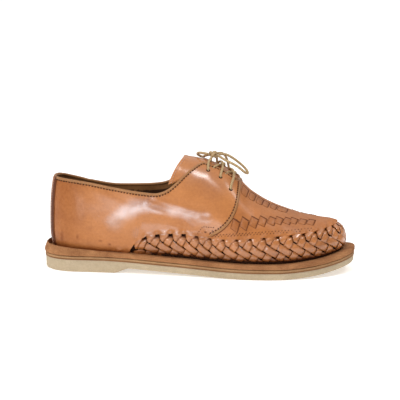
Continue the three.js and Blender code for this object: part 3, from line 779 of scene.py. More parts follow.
def solePlan(station, side, heel, toe, inward):
    place = heel + station / last["length"] * (last["length"] - heel - toe)
    heelShare = (last["heelCap"] - station) / last["heelCap"]
    toeShare = (station - (last["length"] - last["toeCap"])) / last["toeCap"]
    half = (lineAt["half"](place) - inward(place)) * rounded(heelShare) * rounded(toeShare)
    return np.stack([place, lineAt["centre"](place) + side * half], -1)


def soleRing(station, side, inset):
    return solePlan(station, side, inset - sole["heelTail"], inset, lambda place: inset)


def insideRing(station, side, depth):
    heel, toe = last["heelInset"] + depth, last["toeInset"] + depth
    return solePlan(station, side, heel, toe, lambda place: lineAt["margin"](place) + depth)


def rubberHeight(station, lift, share=1.0):
    top = lineAt["top"](station)
    tread = (top - sole["rubberThickness"]) * ramp(station, sole["breastFoot"], sole["breastTop"])
    return blend(tread, top, share) + lift


def featherHeight(station, lift, lipShare=0.0):
    lip = sole["lipHeight"] * eased(ramp(station, sole["lipReach"], 0))
    return featherLine(station) + lift + lipShare * lip


def ringStations():
    going = last["length"] / 2 * (1 - np.cos(np.linspace(0, np.pi, sole["ringSteps"])))
    station = np.concatenate([going, going[::-1][1:]])
    side = np.concatenate([np.full(len(going), -1.0), np.full(len(going) - 1, 1.0)])
    return station, side


def roughened(row, rough):  # fibres standing off a cut edge
    points = [Vector(point) for point in row]
    bump = np.array([noise.noise(point * 0.55) + 0.6 * noise.noise(point * 1.7) for point in points])
    outward = row[:, :2] - np.column_stack([row[:, 0] * 0.9 + 15, lineAt["centre"](row[:, 0])])
    outward /= np.maximum(np.linalg.norm(outward, axis=1, keepdims=True), 1e-6)
    return row + np.column_stack([outward, np.full(len(row), 0.35)]) * (bump * rough)[:, None]


def drawnIn(row, share):  # a ring narrowed toward the middle line, to close a face
    return np.column_stack([row[:, 0], blend(lineAt["centre"](row[:, 0]), row[:, 1], share), row[:, 2]])


def layered(name, plan, height, rings, material, rough):
    station, side = ringStations()
    plain = [np.column_stack([plan(station, side, inset), height(station, *lift)]) for inset, *lift in rings]
    rows = [drawnIn(plain[0], share) for share in reversed(sole["capShares"])]
    rows += [roughened(row, rough) if rough else row for row in plain]
    rows += [drawnIn(plain[-1], share) for share in sole["capShares"]]
    piece = drape(name, np.array(rows), [material])
    smoothBy(piece, 50)
    return piece


layers = [  # piece, plan, height, rings, material, rough edge, slot, node
    ("rubber_outsole", soleRing, rubberHeight, "outsole", rubberCream, 0, "sole_rubber", ["outsole"]),
    ("midsole_board", soleRing, rubberHeight, "midsole", boardHide, 0.16, "sole_leather", ["midsole"]),
    ("sole_seam", soleRing, rubberHeight, "seam", seamTan, 0, "sole_leather", []),
    ("welt_runner", soleRing, featherHeight, "welt", weltHide, 0.42, "welt_leather", ["welt"]),
    ("insole_sock", insideRing, featherHeight, "insole", liningHide, 0, "lining_leather", ["insole"]),
]
for name, plan, height, rings, material, rough, slot, nodes in layers:
    finishPiece(layered(name, plan, height, sole[rings], material, rough), slot, *nodes)
print("sole, welt and insole laid")

# woven band: two families of straps crossing over and under, on a near-black backing that is painted shadow
weave = {
    "pitch": 12.85,
    "phase": 2.6,
    "slashSlope": 59.0,
    "slashMiddle": 1.87,
    "slashHalf": 3.98,
    "slashStart": 0.4,
    "lipSlope": 34.8,
    "lipMiddle": -0.35,
    "lipHalf": 5.57,
    "lipLeft": 0.6,
    "lipLean": 0.28,
    "lipRight": 11.5,
    "lipStart": -1.5,
    "rearGape": (1.0, 0.9, 1.6),
    "gapeRun": (80, 55),
    "emerge": 0.42,
    "steepness": 0.735,
    "middle": 1.55,
    "swing": 1.2,
    "thickness": 1.0,
    "holeTop": 0.4,
    "holeFoot": 4.2,
    "holeDepth": 0.1,
    "holeRun": 1.3,
    "curl": 1.2,
    "curlHalf": (2.6, 2.2),
    "footHide": (3.5, 1.9),
    "footSink": 1.7,
    "startStation": 84.0,
    "runIn": 12.0,
    "overrun": 1.5,
    "fadeRun": (3, 33),
    "quarterEnd": (165, 156),
    "reach": 34.0,
    "rowGap": 0.5,
    "rulerDrop": 8.0,
    "profile": [  # place across, depth
        (-1.0, 1.0), (-1.0, 0.42), (-0.86, 0.12), (-0.5, 0.02), (0.0, 0.0),
        (0.5, 0.02), (0.86, 0.12), (1.0, 0.42), (1.0, 1.0), (0.0, 1.0),
    ],
    # painted shadow: the backing's foot, a near-black lip along the welt (height above the foot line,
    # offset)
    "backingFoot": [(-0.5, 1.35), (0.6, 1.45), (1.4, 1.35), (2.0, 0.95), (2.6, -0.2)],
    "backingDepth": -0.4,
}


def bandHeight(turn):
    return lineAt["band"](stationAt(turn))


def makeRuler():
    ends = [float(sideTurn(weave["startStation"] - weave["runIn"], side)) for side in (-1, 1)]
    turns = np.linspace(ends[0] - 4, ends[1], 2400)
    points = skin(turns, np.maximum(riseAt(turns, bandHeight(turns) - weave["rulerDrop"]), -1), 1.4)
    run = runAlong(points[:, :2])
    return turns, run - np.interp(float(sideTurn(weave["startStation"], -1)) - 4, turns, run)


rulerTurns, rulerRun = makeRuler()
bandEnd = rulerRun[-1] - weave["runIn"]


def holeCurl(turn, rise):  # leather rolled outwards over each hole
    lap = np.mod(turn, 4.0)
    along = np.interp(lap, rulerTurns, rulerRun) - weave["phase"] - weave["holeRun"]
    across = np.mod(along + weave["pitch"] / 2, weave["pitch"]) - weave["pitch"] / 2
    above = skin(turn, rise, 0.0)[..., 2] - bandHeight(lap)
    near = bell(across, weave["curlHalf"][0]) * bell(above, weave["curlHalf"][1])
    return np.where((lap > rulerTurns[0]) & (lap < rulerTurns[-1]), weave["curl"] * near, 0)


# quarters: one wall from facing to facing round the heel, with its edges drawn as two lines
quarters = {
    "outer": 2.7,
    "wall": 1.25,
    "foldedIn": 5.0,
    "sideSteps": 150,
    "rows": 56,
    "heelSteps": 40,
    "seat": (36, 84.5, 30),  # start, end and steps of each stretch of the edges
    "band": (85, 159, 50),
    "collar": (36, 156, 90),
    "facing": (157.5, 186.5, 40),
    "frontSteps": 60,
    "lowShares": (0, 0.2, 0.4, 0.68, 1),
    "highShares": (0, 0.2, 0.72, 1),
    "front": [(160, 38.4), (168.5, 42.8), (176, 48), (184, 58), (188, 70), (189, 82), (187.8, 86.4)],
    "tipFrom": (180, 84),
    "collarTo": 150,
    "creases": [  # line of station and height, depth on the lateral and medial side, breadth
        ([(107, 71.5), (124.5, 66), (143.7, 62), (161, 58)], 0.17, 0.17, 2.6),
        ([(105, 66.5), (124.5, 60.5), (148.6, 55.5)], 0.15, 0.0, 2.8),
        ([(115, 74), (134, 70), (156, 65)], 0.16, 0.16, 2.4),
        ([(98, 50), (115, 49), (132, 47)], 0.5, 0.4, 5.5),
    ],
    "polished": [  # line of station and height, breadth, strength
        ([(70, 48), (80.8, 58.5), (90.7, 64), (101, 69)], 8.0, 0.9),
        ([(90.7, 64), (119.7, 63.5), (134.2, 61.6), (148.6, 58.9), (160, 57.5)], 5.5, 0.75),
        ([(146, 92), (156.8, 90), (168, 82)], 13.0, 0.45),
        ([(149, 96), (157, 95)], 6.5, 0.85),
        ([(90.7, 38.7), (91.5, 38.9)], 3.5, 0.8),
        ([(117, 41), (122, 41)], 3.0, 0.7),
        ([(97, 37.5), (111, 40.3), (139, 42), (152, 41)], 2.2, 0.6),
    ],
    "scuffs": [  # station, height, half length, half height, strength
        (18.3, 33.1, 1.1, 4.5, 0.75),
        (34.3, 33.6, 1.0, 2.2, 0.7),
        (56.7, 30.5, 1.6, 1.0, 0.75),
        (65.5, 27.0, 1.1, 1.1, 0.95),
        (46.0, 42.0, 3.0, 0.7, 0.2),
    ],
}


def lineDistance(points, line):
    best = np.full(points.shape[:-1], 1e9)
    line = np.asarray(line, float)
    for a, b in zip(line[:-1], line[1:]):
        share = np.clip(((points - a) @ (b - a)) / np.dot(b - a, b - a), 0, 1)
        best = np.minimum(best, np.linalg.norm(points - a - share[..., None] * (b - a), axis=-1))
    return best


def creaseDepth(turn, rise, creases, offset):
    base = skin(turn, rise, offset)
    isLateral = base[..., 1] < lineAt["lean"](base[..., 0])
    depth = np.zeros(base.shape[:-1])
    for line, lateral, medial, wide in creases:
        near = lineDistance(base[..., [0, 2]], line)
        trough = bell(near, wide) - 0.45 * bell(near - 2.1 * wide, 1.2 * wide)
        depth -= trough * np.where(isLateral, lateral, medial)
    return depth


def softWave(points):  # slight unevenness of lasted leather
    x, z = points[..., 0], points[..., 2]
    wave = np.sin(0.21 * x + 0.9 * np.sin(0.17 * z)) * np.sin(0.29 * z + 0.6 * np.sin(0.11 * x) + 0.4)
    return 0.07 * wave + 0.03 * np.sin(0.47 * z + 0.2 * x + 1.1 * np.sin(0.07 * x))


def edgeLine(parts, breaks, steps):  # stretches of places joined into one softened run
    shares = [np.linspace(start, end, len(part), endpoint=end == 1)
              for part, start, end in zip(parts, breaks[:-1], breaks[1:])]
    points, shares = np.concatenate(parts), np.concatenate(shares)
    edge = np.stack([np.interp(steps, shares, points[:, 0]), np.interp(steps, shares, points[:, 1])], -1)
    for softening in range(3):
        edge[1:-1] = 0.25 * edge[:-2] + 0.5 * edge[1:-1] + 0.25 * edge[2:]
    return edge


def toplineOf(side):
    return lineAt["toplineLateral" if side < 0 else "toplineMedial"]


def quarterEdges(side, steps):
    topline = toplineOf(side)
    heel = np.linspace(3.5, 4.0 if side < 0 else 3.0, quarters["heelSteps"])[:-1]
    stretches = [np.linspace(*quarters[name]) for name in ("seat", "band", "collar", "facing")]
    seat, band, collar, facing = stretches
    seat = sideTurn(seat, side)
    at = np.linspace(0, len(quarters["front"]) - 1, quarters["frontSteps"])
    front = [smoothLine(list(enumerate(column)))(at) for column in zip(*quarters["front"])]
    low = [np.stack([heel, np.full(len(heel), -1.0)], -1), np.stack([seat, np.full(len(seat), -1.0)], -1),
           sidePlaces(band, lineAt["band"](band), side), sidePlaces(*front, side)]
    turn, rise = topPlace(facing, last["throatCentre"] + side * lineAt["throat"](facing))
    inward = np.stack([turn + (4 if side < 0 else 0), rise], -1)
    high = [np.stack([heel, riseAt(heel, topline(stationAt(heel)))], -1),
            sidePlaces(collar, topline(collar), side), np.vstack([inward, low[-1][-1:]])]
    return edgeLine(low, quarters["lowShares"], steps), edgeLine(high, quarters["highShares"], steps)


quarterSteps = np.linspace(0, 1, quarters["sideSteps"])
quarterLow, quarterHigh = {}, {}
for side in (-1, 1):
    quarterLow[side], quarterHigh[side] = quarterEdges(side, quarterSteps)


def runRound(edges):
    return np.concatenate([edges[1][::-1][:-1], edges[-1]])


def makeQuarters():
    share = np.linspace(0, 1, quarters["rows"])[:, None, None]
    grid = blend(runRound(quarterLow), runRound(quarterHigh), share)
    turn, rise = grid[..., 0], grid[..., 1]
    offset = quarters["outer"] + creaseDepth(turn, rise, quarters["creases"], quarters["outer"])
    offset += holeCurl(turn, rise) + softWave(skin(turn, rise, 0.0))
    piece = drape("quarters", skin(turn, rise, offset), [quarterHide, liningHide, bindingHide])
    thicken(piece, quarters["wall"], 1, 2)
    for face in piece.data.polygons:  # binding folded over the collar's inside and the facings' tips
        station, across, height = fromFrame(np.array(face.center))
        folded = toplineOf(across - lineAt["lean"](station))(station) - quarters["foldedIn"]
        isTip = station > quarters["tipFrom"][0] and height > quarters["tipFrom"][1]
        isCollar = station < quarters["collarTo"] and height > folded
        if face.material_index == 1 and (isTip or isCollar):
            face.material_index = 2
    return piece


def paintQuarters(piece):  # painted shade: darker at the heel, where the light falls off, and along the welt where the upper meets it, with a few scuffs
    points = pointsOf(piece)
    station, height = points[:, 0], points[:, 2]
    shade = 0.5 * ramp(station, 58, 6) + 0.75 * ramp(height - featherLine(station), 8, 0) ** 2
    for along, up, halfLong, halfHigh, strength in quarters["scuffs"]:
        shade += strength * bell(station - along, halfLong) * bell(height - up, halfHigh)
    polish = 0.05 + 0.12 * ramp(station, 30, 70)
    for line, wide, strength in quarters["polished"]:
        polish = np.maximum(polish, strength * bell(lineDistance(points[:, [0, 2]], line), wide))
    # painted shade: darker under the gloss spots, so the highlight there reads greyer
    paint(piece, "shade", shade + 0.32 * polish)
    paint(piece, "polish", polish)


eyelets = {
    "rows": [(159.4, -18.0), (171.4, -20.5), (181.5, -26.5)],
    "radius": 1.95,
    "cut": 8.0,
    "darkRadius": 2.15,
}


def eyeletSpot(number, side, offset, inward=0.0):
    station, across = eyelets["rows"][number]
    across += inward
    if side > 0:
        across = 2 * last["throatCentre"] - across
    turn, rise = topPlace(station, across)
    return skin(turn, rise, offset), skinNormal(turn, rise, quarters["outer"])


eyeletPlaces = [(number, side) for side in (-1, 1) for number in range(len(eyelets["rows"]))]
quarterPiece = makeQuarters()
for number, side in eyeletPlaces:
    spot, normal = eyeletSpot(number, side, 2.0)
    deselect()
    bpy.ops.mesh.primitive_cylinder_add(
        vertices=20, radius=eyelets["radius"] * millimetre, depth=eyelets["cut"] * millimetre,
        location=inFrame(spot), rotation=Vector(normal).to_track_quat("Z", "Y").to_euler())
    cutBy(quarterPiece, bpy.context.object)
smoothBy(quarterPiece, 40)
paintQuarters(quarterPiece)
finishPiece(quarterPiece, "upper_leather", "upper")
print("quarters cut and eyelets punched")

# vamp: from the woven band over the ridge, its rear edge slanting under the quarters
vamp = {
    "outer": 1.6,
    "wall": 1.3,
    "rearFoot": 148.0,
    "rearRidge": 184.0,
    "sideSteps": 130,
    "toeSteps": 60,
    "rows": 60,
    "edgeDrop": 0.5,
    "rearAbove": 48.0,
    "creases": [
        ([(196, 72), (203, 62), (207, 52)], 0.35, 0.35, 2.5),
        ([(214, 58), (221, 52), (226, 46)], 0.25, 0.0, 2.5),
    ],
}


def vampLevel(turn, rise):
    return vamp["outer"] + creaseDepth(turn, rise, vamp["creases"], vamp["outer"])


def roundToe(rear):  # turns from the lateral rear round the toe to the medial rear
    stations = np.linspace(rear, last["spineToe"], vamp["sideSteps"])
    toe = np.linspace(1, 2, vamp["toeSteps"])[1:-1]
    return np.concatenate([sideTurn(stations, -1) - 4, toe, sideTurn(stations[::-1], 1)])


def makeVamp():
    low, high = roundToe(vamp["rearFoot"]), roundToe(vamp["rearRidge"])
    share = np.linspace(0, 1, vamp["rows"])[:, None]
    turn = blend(low, high, share)
    rise = blend(riseAt(low, bandHeight(low) - vamp["edgeDrop"]), 1, share)
    rise[-1] = 1.0
    places = skin(turn, rise, vampLevel(turn, rise) + holeCurl(turn, rise))
    piece = drape("vamp", places, [vampShadedHide, liningHide, vampShadedHide])
    thicken(piece, vamp["wall"], 1, 2)
    for face in piece.data.polygons:  # the rear edge is seen only from inside
        if face.material_index == 2 and face.center[2] > vamp["rearAbove"] * millimetre:
            face.material_index = 1
    smoothBy(piece, 50)
    return piece


finishPiece(makeVamp(), "upper_leather")
print("vamp lasted")


def endFade(run):  # none at the band's two ends, whole a little further in
    return ramp(np.minimum(run, bandEnd - run), *weave["fadeRun"])


# painted shadow: near-black backing for the shade between and under the straps
def makeBacking():
    turns = rulerTurns[(rulerRun > 0) & (rulerRun < bandEnd)][::8]
    foot, top, depth = footLine(turns), bandHeight(turns), weave["backingDepth"]
    fade = endFade(np.interp(turns, rulerTurns, rulerRun))
    rows = []
    for rise, offset in weave["backingFoot"]:
        rows.append(skin(turns, riseAt(turns, foot + rise), blend(depth, offset, fade)))
    for share in np.linspace(0.2, 1, 9):
        rows.append(skin(turns, riseAt(turns, blend(foot, top + 4, share)), depth - 0.05))
    rows.append(skin(turns, riseAt(turns, top + 5), 0.2 + 1.1 * ramp(stationAt(turns), 158, 148)))
    piece = drape("weave_backing", np.array(rows), [shadowDark, liningHide])
    thicken(piece, 0.8, 1, 0)
    return piece


def slopeRun(name):
    return 1 / math.tan(math.radians(weave[name]))


def holeAt(number):
    return weave["phase"] + weave["holeRun"] + number * weave["pitch"]


def gapeAt(number):  # the holes stand wider open toward the heel
    return float(ramp(holeAt(number), *weave["gapeRun"]))


def slashSides(number, drop):  # straps out of the holes, running down heelward
    middle = holeAt(number) + weave["slashMiddle"] - drop * slopeRun("slashSlope")
    return middle - weave["slashHalf"], middle + weave["slashHalf"]


def lipSides(number, drop):  # straps cut from the edge above as lips, running down toeward
    middle = holeAt(number) + weave["lipMiddle"] + drop * slopeRun("lipSlope")
    edge = holeAt(number) + weave["lipLeft"] + weave["rearGape"][0] * gapeAt(number)
    left = np.maximum(middle - weave["lipHalf"], edge + weave["lipLean"] * drop)
    farEdge = holeAt(number) + weave["lipRight"] - weave["rearGape"][1] * gapeAt(number + 1)
    return left, np.maximum(middle + weave["lipHalf"], farEdge)


def strapRows(run, drop):  # rows within the band
    turn = np.interp(run, rulerRun, rulerTurns)
    inside = (run > rulerRun[0] + 1) & (run < bandEnd + weave["overrun"])
    return np.nonzero(inside & (bandHeight(turn) - drop - footLine(turn) > -1.0))[0]


def crossed(number, isLip, run, drop):  # straps lying above, and how far this one is over (1) or under (-1)
    if isLip:
        above = [slashSides(number + step, drop) for step in (1, 3)]
        slope, emerge = weave["slashSlope"], weave["emerge"]
    else:
        above = [lipSides(number - step, drop) for step in (0, 2, 4)]
        slope, emerge = weave["lipSlope"], 1.0
    gaps = []
    for low, high in above:
        past = run - high
        gaps.append(np.maximum(low - run, np.where(past > 0, past * emerge, past)))
    clear = np.min(gaps, axis=0) * math.sin(math.radians(slope))
    return above, np.clip(weave["steepness"] * clear - 0.25, -1, 1)


def strapTop(isLip, run, drop, holeTop, over, footRoom):
    top = weave["middle"] + weave["swing"] * over
    root = vamp["outer"] - 0.1 if isLip else weave["holeDepth"]
    top = blend(root, top, eased(ramp(drop - holeTop, 0, weave["holeFoot"])))
    station = stationAt(np.interp(run, rulerRun, rulerTurns))
    quarterLift = ramp(station, *weave["quarterEnd"]) * np.clip(1 - drop / 12, 0.25, 1)
    sink = ramp(footRoom, *weave["footHide"]) * endFade(run)
    return top + quarterLift - weave["footSink"] * sink * sink


def strap(number, isLip):
    holeTop = 0 if isLip else weave["holeTop"] + weave["rearGape"][2] * gapeAt(number)
    start = weave["lipStart"] if isLip else holeTop + weave["slashStart"]
    drop = np.arange(start, weave["reach"], weave["rowGap"])
    left, right = lipSides(number, drop) if isLip else slashSides(number, drop)
    along, half = 0.5 * (left + right), 0.5 * (right - left)
    keep = strapRows(along, drop)
    if len(keep) < 8 or (keep[0] > 4 and along[0] < 0):
        return None
    rows = slice(keep[0], keep[-1] + 1)
    place, depth = np.array(weave["profile"]).T[:, None]
    run = along[rows, None] - place * half[rows, None]
    drop = drop[rows, None] + 0 * place
    above, over = crossed(number, isLip, run, drop)
    turn = np.interp(run, rulerRun, rulerTurns)
    footRoom = bandHeight(turn) - drop - footLine(turn)
    offset = strapTop(isLip, run, drop, holeTop, over, footRoom) - depth * weave["thickness"]
    # painted shade: darker where a strap dips under another, along its edges, toward the welt, in the holes
    # and beside each lip's edge; lips lighter where they come out from under
    shade = 0.45 * ramp(over, -0.2, -1.0) + 0.3 * np.abs(place) ** 8
    shade += 0.55 * ramp(footRoom, 8.0, 2.5) ** 1.3 * (0.4 + 0.6 * endFade(run))
    if isLip:
        shade += 0.1 * ramp(run - above[0][1], 0, 7)
        shade = shade * ramp(drop, 0, 2) + 0.04
    else:
        shade += 0.95 * ramp(drop - holeTop, 2.6, 0.2) + 0.03
        shade += 0.45 * bell(above[0][0] - run, 1.3) * (drop < 6)
    rise = np.maximum(riseAt(turn, bandHeight(turn) - drop), -1.25)
    return skin(turn, rise, offset), shade


def makeStraps():
    numbers = range(-4, int(rulerRun[-1] // weave["pitch"]) + 4)
    made = [strap(number, isLip) for number in numbers for isLip in (True, False)]
    tubes, shades = zip(*[each for each in made if each is not None])
    return bundle("weave_straps", tubes, strapHide, shades)


finishPiece(makeBacking(), "lining_leather")
straps = makeStraps()
finishPiece(straps, "upper_leather")
print("band woven with", len(straps.data.vertices), "points")

# rows of slotted strips on the vamp, each hanging from its own slit
slots = {
    "side": [  # station and rise of the middle of each slit
        (188.3, 0.272), (196.7, 0.352), (205.3, 0.432), (213.1, 0.5), (221.8, 0.568),
        (228.1, 0.62), (236.2, 0.675), (242.0, 0.728), (250.4, 0.765), (258.3, 0.787),
    ],
    "centre": [  # station and place across of the middle of each slit
        (194.8, -2.8), (201.9, -1.5), (209.1, -1.5), (214.9, -0.8),
        (222.3, 1.5), (229.0, 2.5), (232.5, 3.0),
    ],
    "sideWidth": 6.5,
    "centreWidth": 5.4,
    "sideLength": (10.0, 10.2),
    "centreLength": (18.5, 14.0),
    "sideLean": 2.4,
    "centreLean": 1.44,
    "centreRounding": 0.45,
    "slant": 0.45,
    "rise": 0.55,
    "slitHalf": 0.78,
    "profile": [  # place across, height
        (-0.98, -0.5), (-0.9, 0.0), (-0.55, 0.85), (0.0, 1.0),
        (0.55, 0.85), (0.9, 0.0), (0.98, -0.5), (0.0, -1.2),
    ],
}


def slotAlong(row, number, sideShare, reach):
    return slots[row][number][0] + sideShare * slots[row + "Width"] / 2 + slots[row + "Lean"] * reach


def slotLength(row, number):
    return blend(*slots[row + "Length"], number / (len(slots[row]) - 1))


def sideSlot(number, side):
    middle, length = slots["side"][number][1], slotLength("side", number)

    def place(sideShare, reach):
        turn = sideTurn(slotAlong("side", number, sideShare, reach), side) - (4 if side < 0 else 0)
        steep = np.linalg.norm(skin(turn, middle, 0) - skin(turn, middle - 0.02, 0), axis=-1) / 0.02
        return turn, np.clip(middle + (reach * length - slots["slant"] * sideShare) / steep, -0.9, 0.99)

    return place


def centreSlot(number):
    across, length = slots["centre"][number][1], slotLength("centre", number)

    def place(sideShare, reach):
        return topPlace(slotAlong("centre", number, sideShare, reach), across + reach * length)

    return place


def slotTube(place, sideShare, reach, wide, thick, offset):
    turn, rise = place(sideShare, reach)
    path = skin(turn, rise, vampLevel(turn, rise) + offset)
    return sweep(path, skinNormal(turn, rise, vamp["outer"]), thick, wide, 8)


def makeSlot(place, rounding):
    across, high = np.array(slots["profile"]).T[:, None]
    reach = np.concatenate([np.linspace(0.02, -0.86, 9), [-0.92, -0.96, -1.0]])[:, None]
    waist = 1 - rounding * ramp(-reach, 0.8, 1.0) ** 3
    turn, rise = place(across * waist, reach + 0 * across)
    swell = np.clip(1.2 * (1 - np.abs(2 * reach + 1) ** 4), -0.3, 1)
    offset = vampLevel(turn, rise) + slots["rise"] * high * np.where(high > 0, swell, 1)
    # each strip a little darker than the vamp, plus painted shade toward its sides and just under its slit
    shade = 0.16 + 0.25 * np.abs(across) ** 4 + 0.3 * ramp(reach, -0.25, 0) ** 2
    line = np.linspace(-1.1, 1.1, 10)
    taper = np.sqrt(np.maximum(0.05, 1 - (line / 1.15) ** 2))[:, None, None]
    edge, waist = reach[1:, 0], waist[1:, 0]
    foot = np.linspace(-0.95, 0.95, 8) * (1 - rounding)
    # painted shade: dark lines along the slit and round each strip's sides and foot
    lines = [
        slotTube(place, line, np.zeros(10), slots["slitHalf"] * taper, 0.3, 0.1),
        slotTube(place, waist, edge, (0.5 * (1 + 0.3 * edge))[:, None, None], 0.16, 0.05),
        slotTube(place, -waist, edge, 0.17, 0.16, 0.02),
        slotTube(place, foot, np.full(8, -1.0), 0.19, 0.16, 0.02),
    ]
    return skin(turn, rise, offset), shade, lines


madeSlots = []
for side in (-1, 1):
    madeSlots += [makeSlot(sideSlot(number, side), 0.0) for number in range(len(slots["side"]))]
for number in range(len(slots["centre"])):
    madeSlots.append(makeSlot(centreSlot(number), slots["centreRounding"]))
pads = bundle("vamp_strips", [made[0] for made in madeSlots], vampShadedHide, [made[1] for made in madeSlots])
finishPiece(pads, "upper_leather")
slits = bundle("vamp_slit_shade", [tube for made in madeSlots for tube in made[2]], shadeLineBrown)
finishPiece(slits, "upper_leather")
print("strips set in the vamp:", len(madeSlots))

# binding bead round collar, facings and front edges, and its stitches
binding = {
    "radius": 1.45,
    "thick": 1.25,
    "frontThick": 1.1,
    "collarOffset": 2.05,
    "frontOffset": 2.0,
    "frontFrom": 0.685,
    "shadowInset": 1.35,
    "stitch": (2.9, 1.9, 0.62),  # gap, length, radius
    "below": 1.95,
}


def evenRun(places, gap, offset):
    run = runAlong(skin(places[:, 0], places[:, 1], offset))
    at = np.arange(gap / 2, run[-1], gap)
    return np.stack([np.interp(at, run, places[:, 0]), np.interp(at, run, places[:, 1])], -1)


def stitchTubes(places, offset, length, radius, slant=0.0):
    points = skin(places[:, 0], places[:, 1], offset)
    normals = skinNormal(places[:, 0], places[:, 1], offset)
    tangent = unit(np.gradient(points, axis=0))
    way = tangent * math.cos(slant) + np.cross(normals, tangent) * math.sin(slant)
    tubes = []
    share = np.array([-0.5, -0.36, 0.0, 0.36, 0.5])[:, None]
    for point, normal, step in zip(points, normals, way):
        path = point + share * length * step + normal * (0.12 - 1.1 * np.abs(share) ** 2.5)
        tubes.append(sweep(path, np.repeat(normal[None], 5, 0), radius, radius, 6, True))
    return tubes


def sew(line, offset, lift, stitch):
    gap, length, radius = stitch
    return stitchTubes(evenRun(line, gap, offset), offset + lift, length, radius)


def insetLine(edge, other, distance, offset):
    share = np.linspace(0, 0.45, 60)[:, None]
    grid = blend(edge, other, share[..., None])
    gone = runAlong(skin(grid[..., 0], grid[..., 1], offset))
    found = np.array([np.interp(distance, column, share[:, 0]) for column in gone.T])[:, None]
    return blend(edge, other, found)


outer = quarters["outer"]
topRun, lowRun = runRound(quarterHigh), runRound(quarterLow)
beads = [sweepOver(topRun, binding["collarOffset"], binding["thick"], binding["radius"], 12)]
threads = sew(insetLine(topRun, lowRun, binding["below"], outer)[9:-9], outer, 0.02, binding["stitch"])
shadowRuns = []
for side in (-1, 1):
    front, facing = [edge[side][quarterSteps > binding["frontFrom"]] for edge in (quarterLow, quarterHigh)]
    beads.append(sweepOver(front, binding["frontOffset"], binding["frontThick"], binding["radius"], 12))
    shadowLine = insetLine(front, 2 * front - facing, binding["shadowInset"], vamp["outer"])
    shadowRuns.append(sweepOver(shadowLine, vamp["outer"] + 0.15, 0.55, 0.8))
    threads += sew(insetLine(front, facing, binding["below"], outer)[1:-7], outer, 0.02, binding["stitch"])
finishPiece(bundle("edge_binding", beads, bindingHide), "upper_leather")
print("edges bound")

# corner reinforcement at the foot of each front edge, and the slanted pinholes above the band
corner = {
    "runs": [
        [(156.6, 47.8), (168.4, 47.5)],
        [(156.6, 47.8), (150.6, 40.4)],
        [(166.4, 45.6), (162.9, 40.4)],
    ],
    "hole": [(158.7, 43.1), (159.6, 43.1)],
    "stitch": (2.3, 1.0, 0.34),  # gap, length, radius
}
pinRows = {
    "line": [(168.5, 40.0), (187, 41.8), (205.5, 43.1), (224, 43.8), (243, 43.6), (260, 43.3)],
    "apart": 0.75,
    "gap": 3.1,
    "closer": 0.97,
    "length": 1.5,
    "radius": 0.32,
    "slant": 0.7,
}
pinLine = smoothLine(pinRows["line"])
for side in (-1, 1):
    for run in corner["runs"]:
        threads += sew(sidePlaces(*np.linspace(*run, 20).T, side), outer, 0.04, corner["stitch"])
    threads += stitchTubes(sidePlaces(*np.array(corner["hole"]).T, side), outer + 0.02, 0.9, 0.5)
    for number, rise in enumerate((-pinRows["apart"], pinRows["apart"])):
        start = pinRows["line"][0][0] + number * pinRows["gap"] / 2
        stations = np.arange(start, pinRows["line"][-1][0], pinRows["gap"] * pinRows["closer"])
        places = sidePlaces(stations, pinLine(stations) + rise, side)
        slant = pinRows["slant"] * -side
        threads += stitchTubes(places, vamp["outer"] - 0.02, pinRows["length"], pinRows["radius"], slant)
print("pinholes and corners marked")

# backstay over the heel seam, edge-stitched
backstay = {
    "inner": 2.75,
    "outer": 3.95,
    "wall": 0.9,
    "halfWidth": 17.2,
    "foot": 1.5,
    "above": 0.6,
    "steps": 40,
    "rows": 40,
    "lineSteps": 30,
    "lineInset": (-3.6, 0.2),
    "stitch": (2.6, 1.6, 0.3),  # gap, length, radius
    "edgeShadowOffset": 2.95,
}


def makeBackstay():
    spread = np.linspace(3.5 - 0.42, 3.5 + 0.42, 400)
    across = skin(spread, 0.0, backstay["outer"])[:, 1]
    order = np.argsort(across)

    def turnAcross(place):
        return np.interp(place, across[order], spread[order])

    shape = np.sin(np.linspace(-np.pi / 2, np.pi / 2, backstay["steps"]))
    turn = turnAcross(shape * backstay["halfWidth"])
    stations = stationAt(turn)
    low = riseAt(turn, float(featherLine(0)) + backstay["foot"])
    topline = np.where(shape > 0, toplineOf(1)(stations), toplineOf(-1)(stations))
    high = riseAt(turn, topline + backstay["above"])
    share = np.linspace(0, 1, backstay["rows"])[:, None]
    rise = blend(low, high, share)
    edge = ramp(np.abs(shape), 1, 0.94) ** 0.5
    offset = blend(backstay["inner"], backstay["outer"], edge * np.clip((1.0 - share) / 0.03 + 0.35, 0, 1))
    if turn[0] > turn[-1]:
        turn, rise, offset = turn[::-1], rise[:, ::-1], offset[:, ::-1]
    piece = drape("backstay_strip", skin(turn[None], rise, offset), [heelShadeHide, liningHide])
    thicken(piece, backstay["wall"], 1, 0)
    # painted shade: the strip darker toward its sides, which turn away from the frontal light
    aside = np.abs(pointsOf(piece)[:, 1] + last["frameShift"][1])
    paint(piece, "shade", 0.15 + 0.8 * ramp(aside, 8, 14))
    rises = np.linspace(float(low.mean()) + 0.12, float(high.mean()) - 0.03, backstay["lineSteps"])
    lines = []
    for side in (-1, 1):
        turns = [float(turnAcross(side * (backstay["halfWidth"] + more))) for more in backstay["lineInset"]]
        lines.append([np.stack([np.full(len(rises), at), rises], -1) for at in turns])
    return piece, lines


backstayPiece, backstayLines = makeBackstay()
finishPiece(backstayPiece, "upper_leather", "backstay")
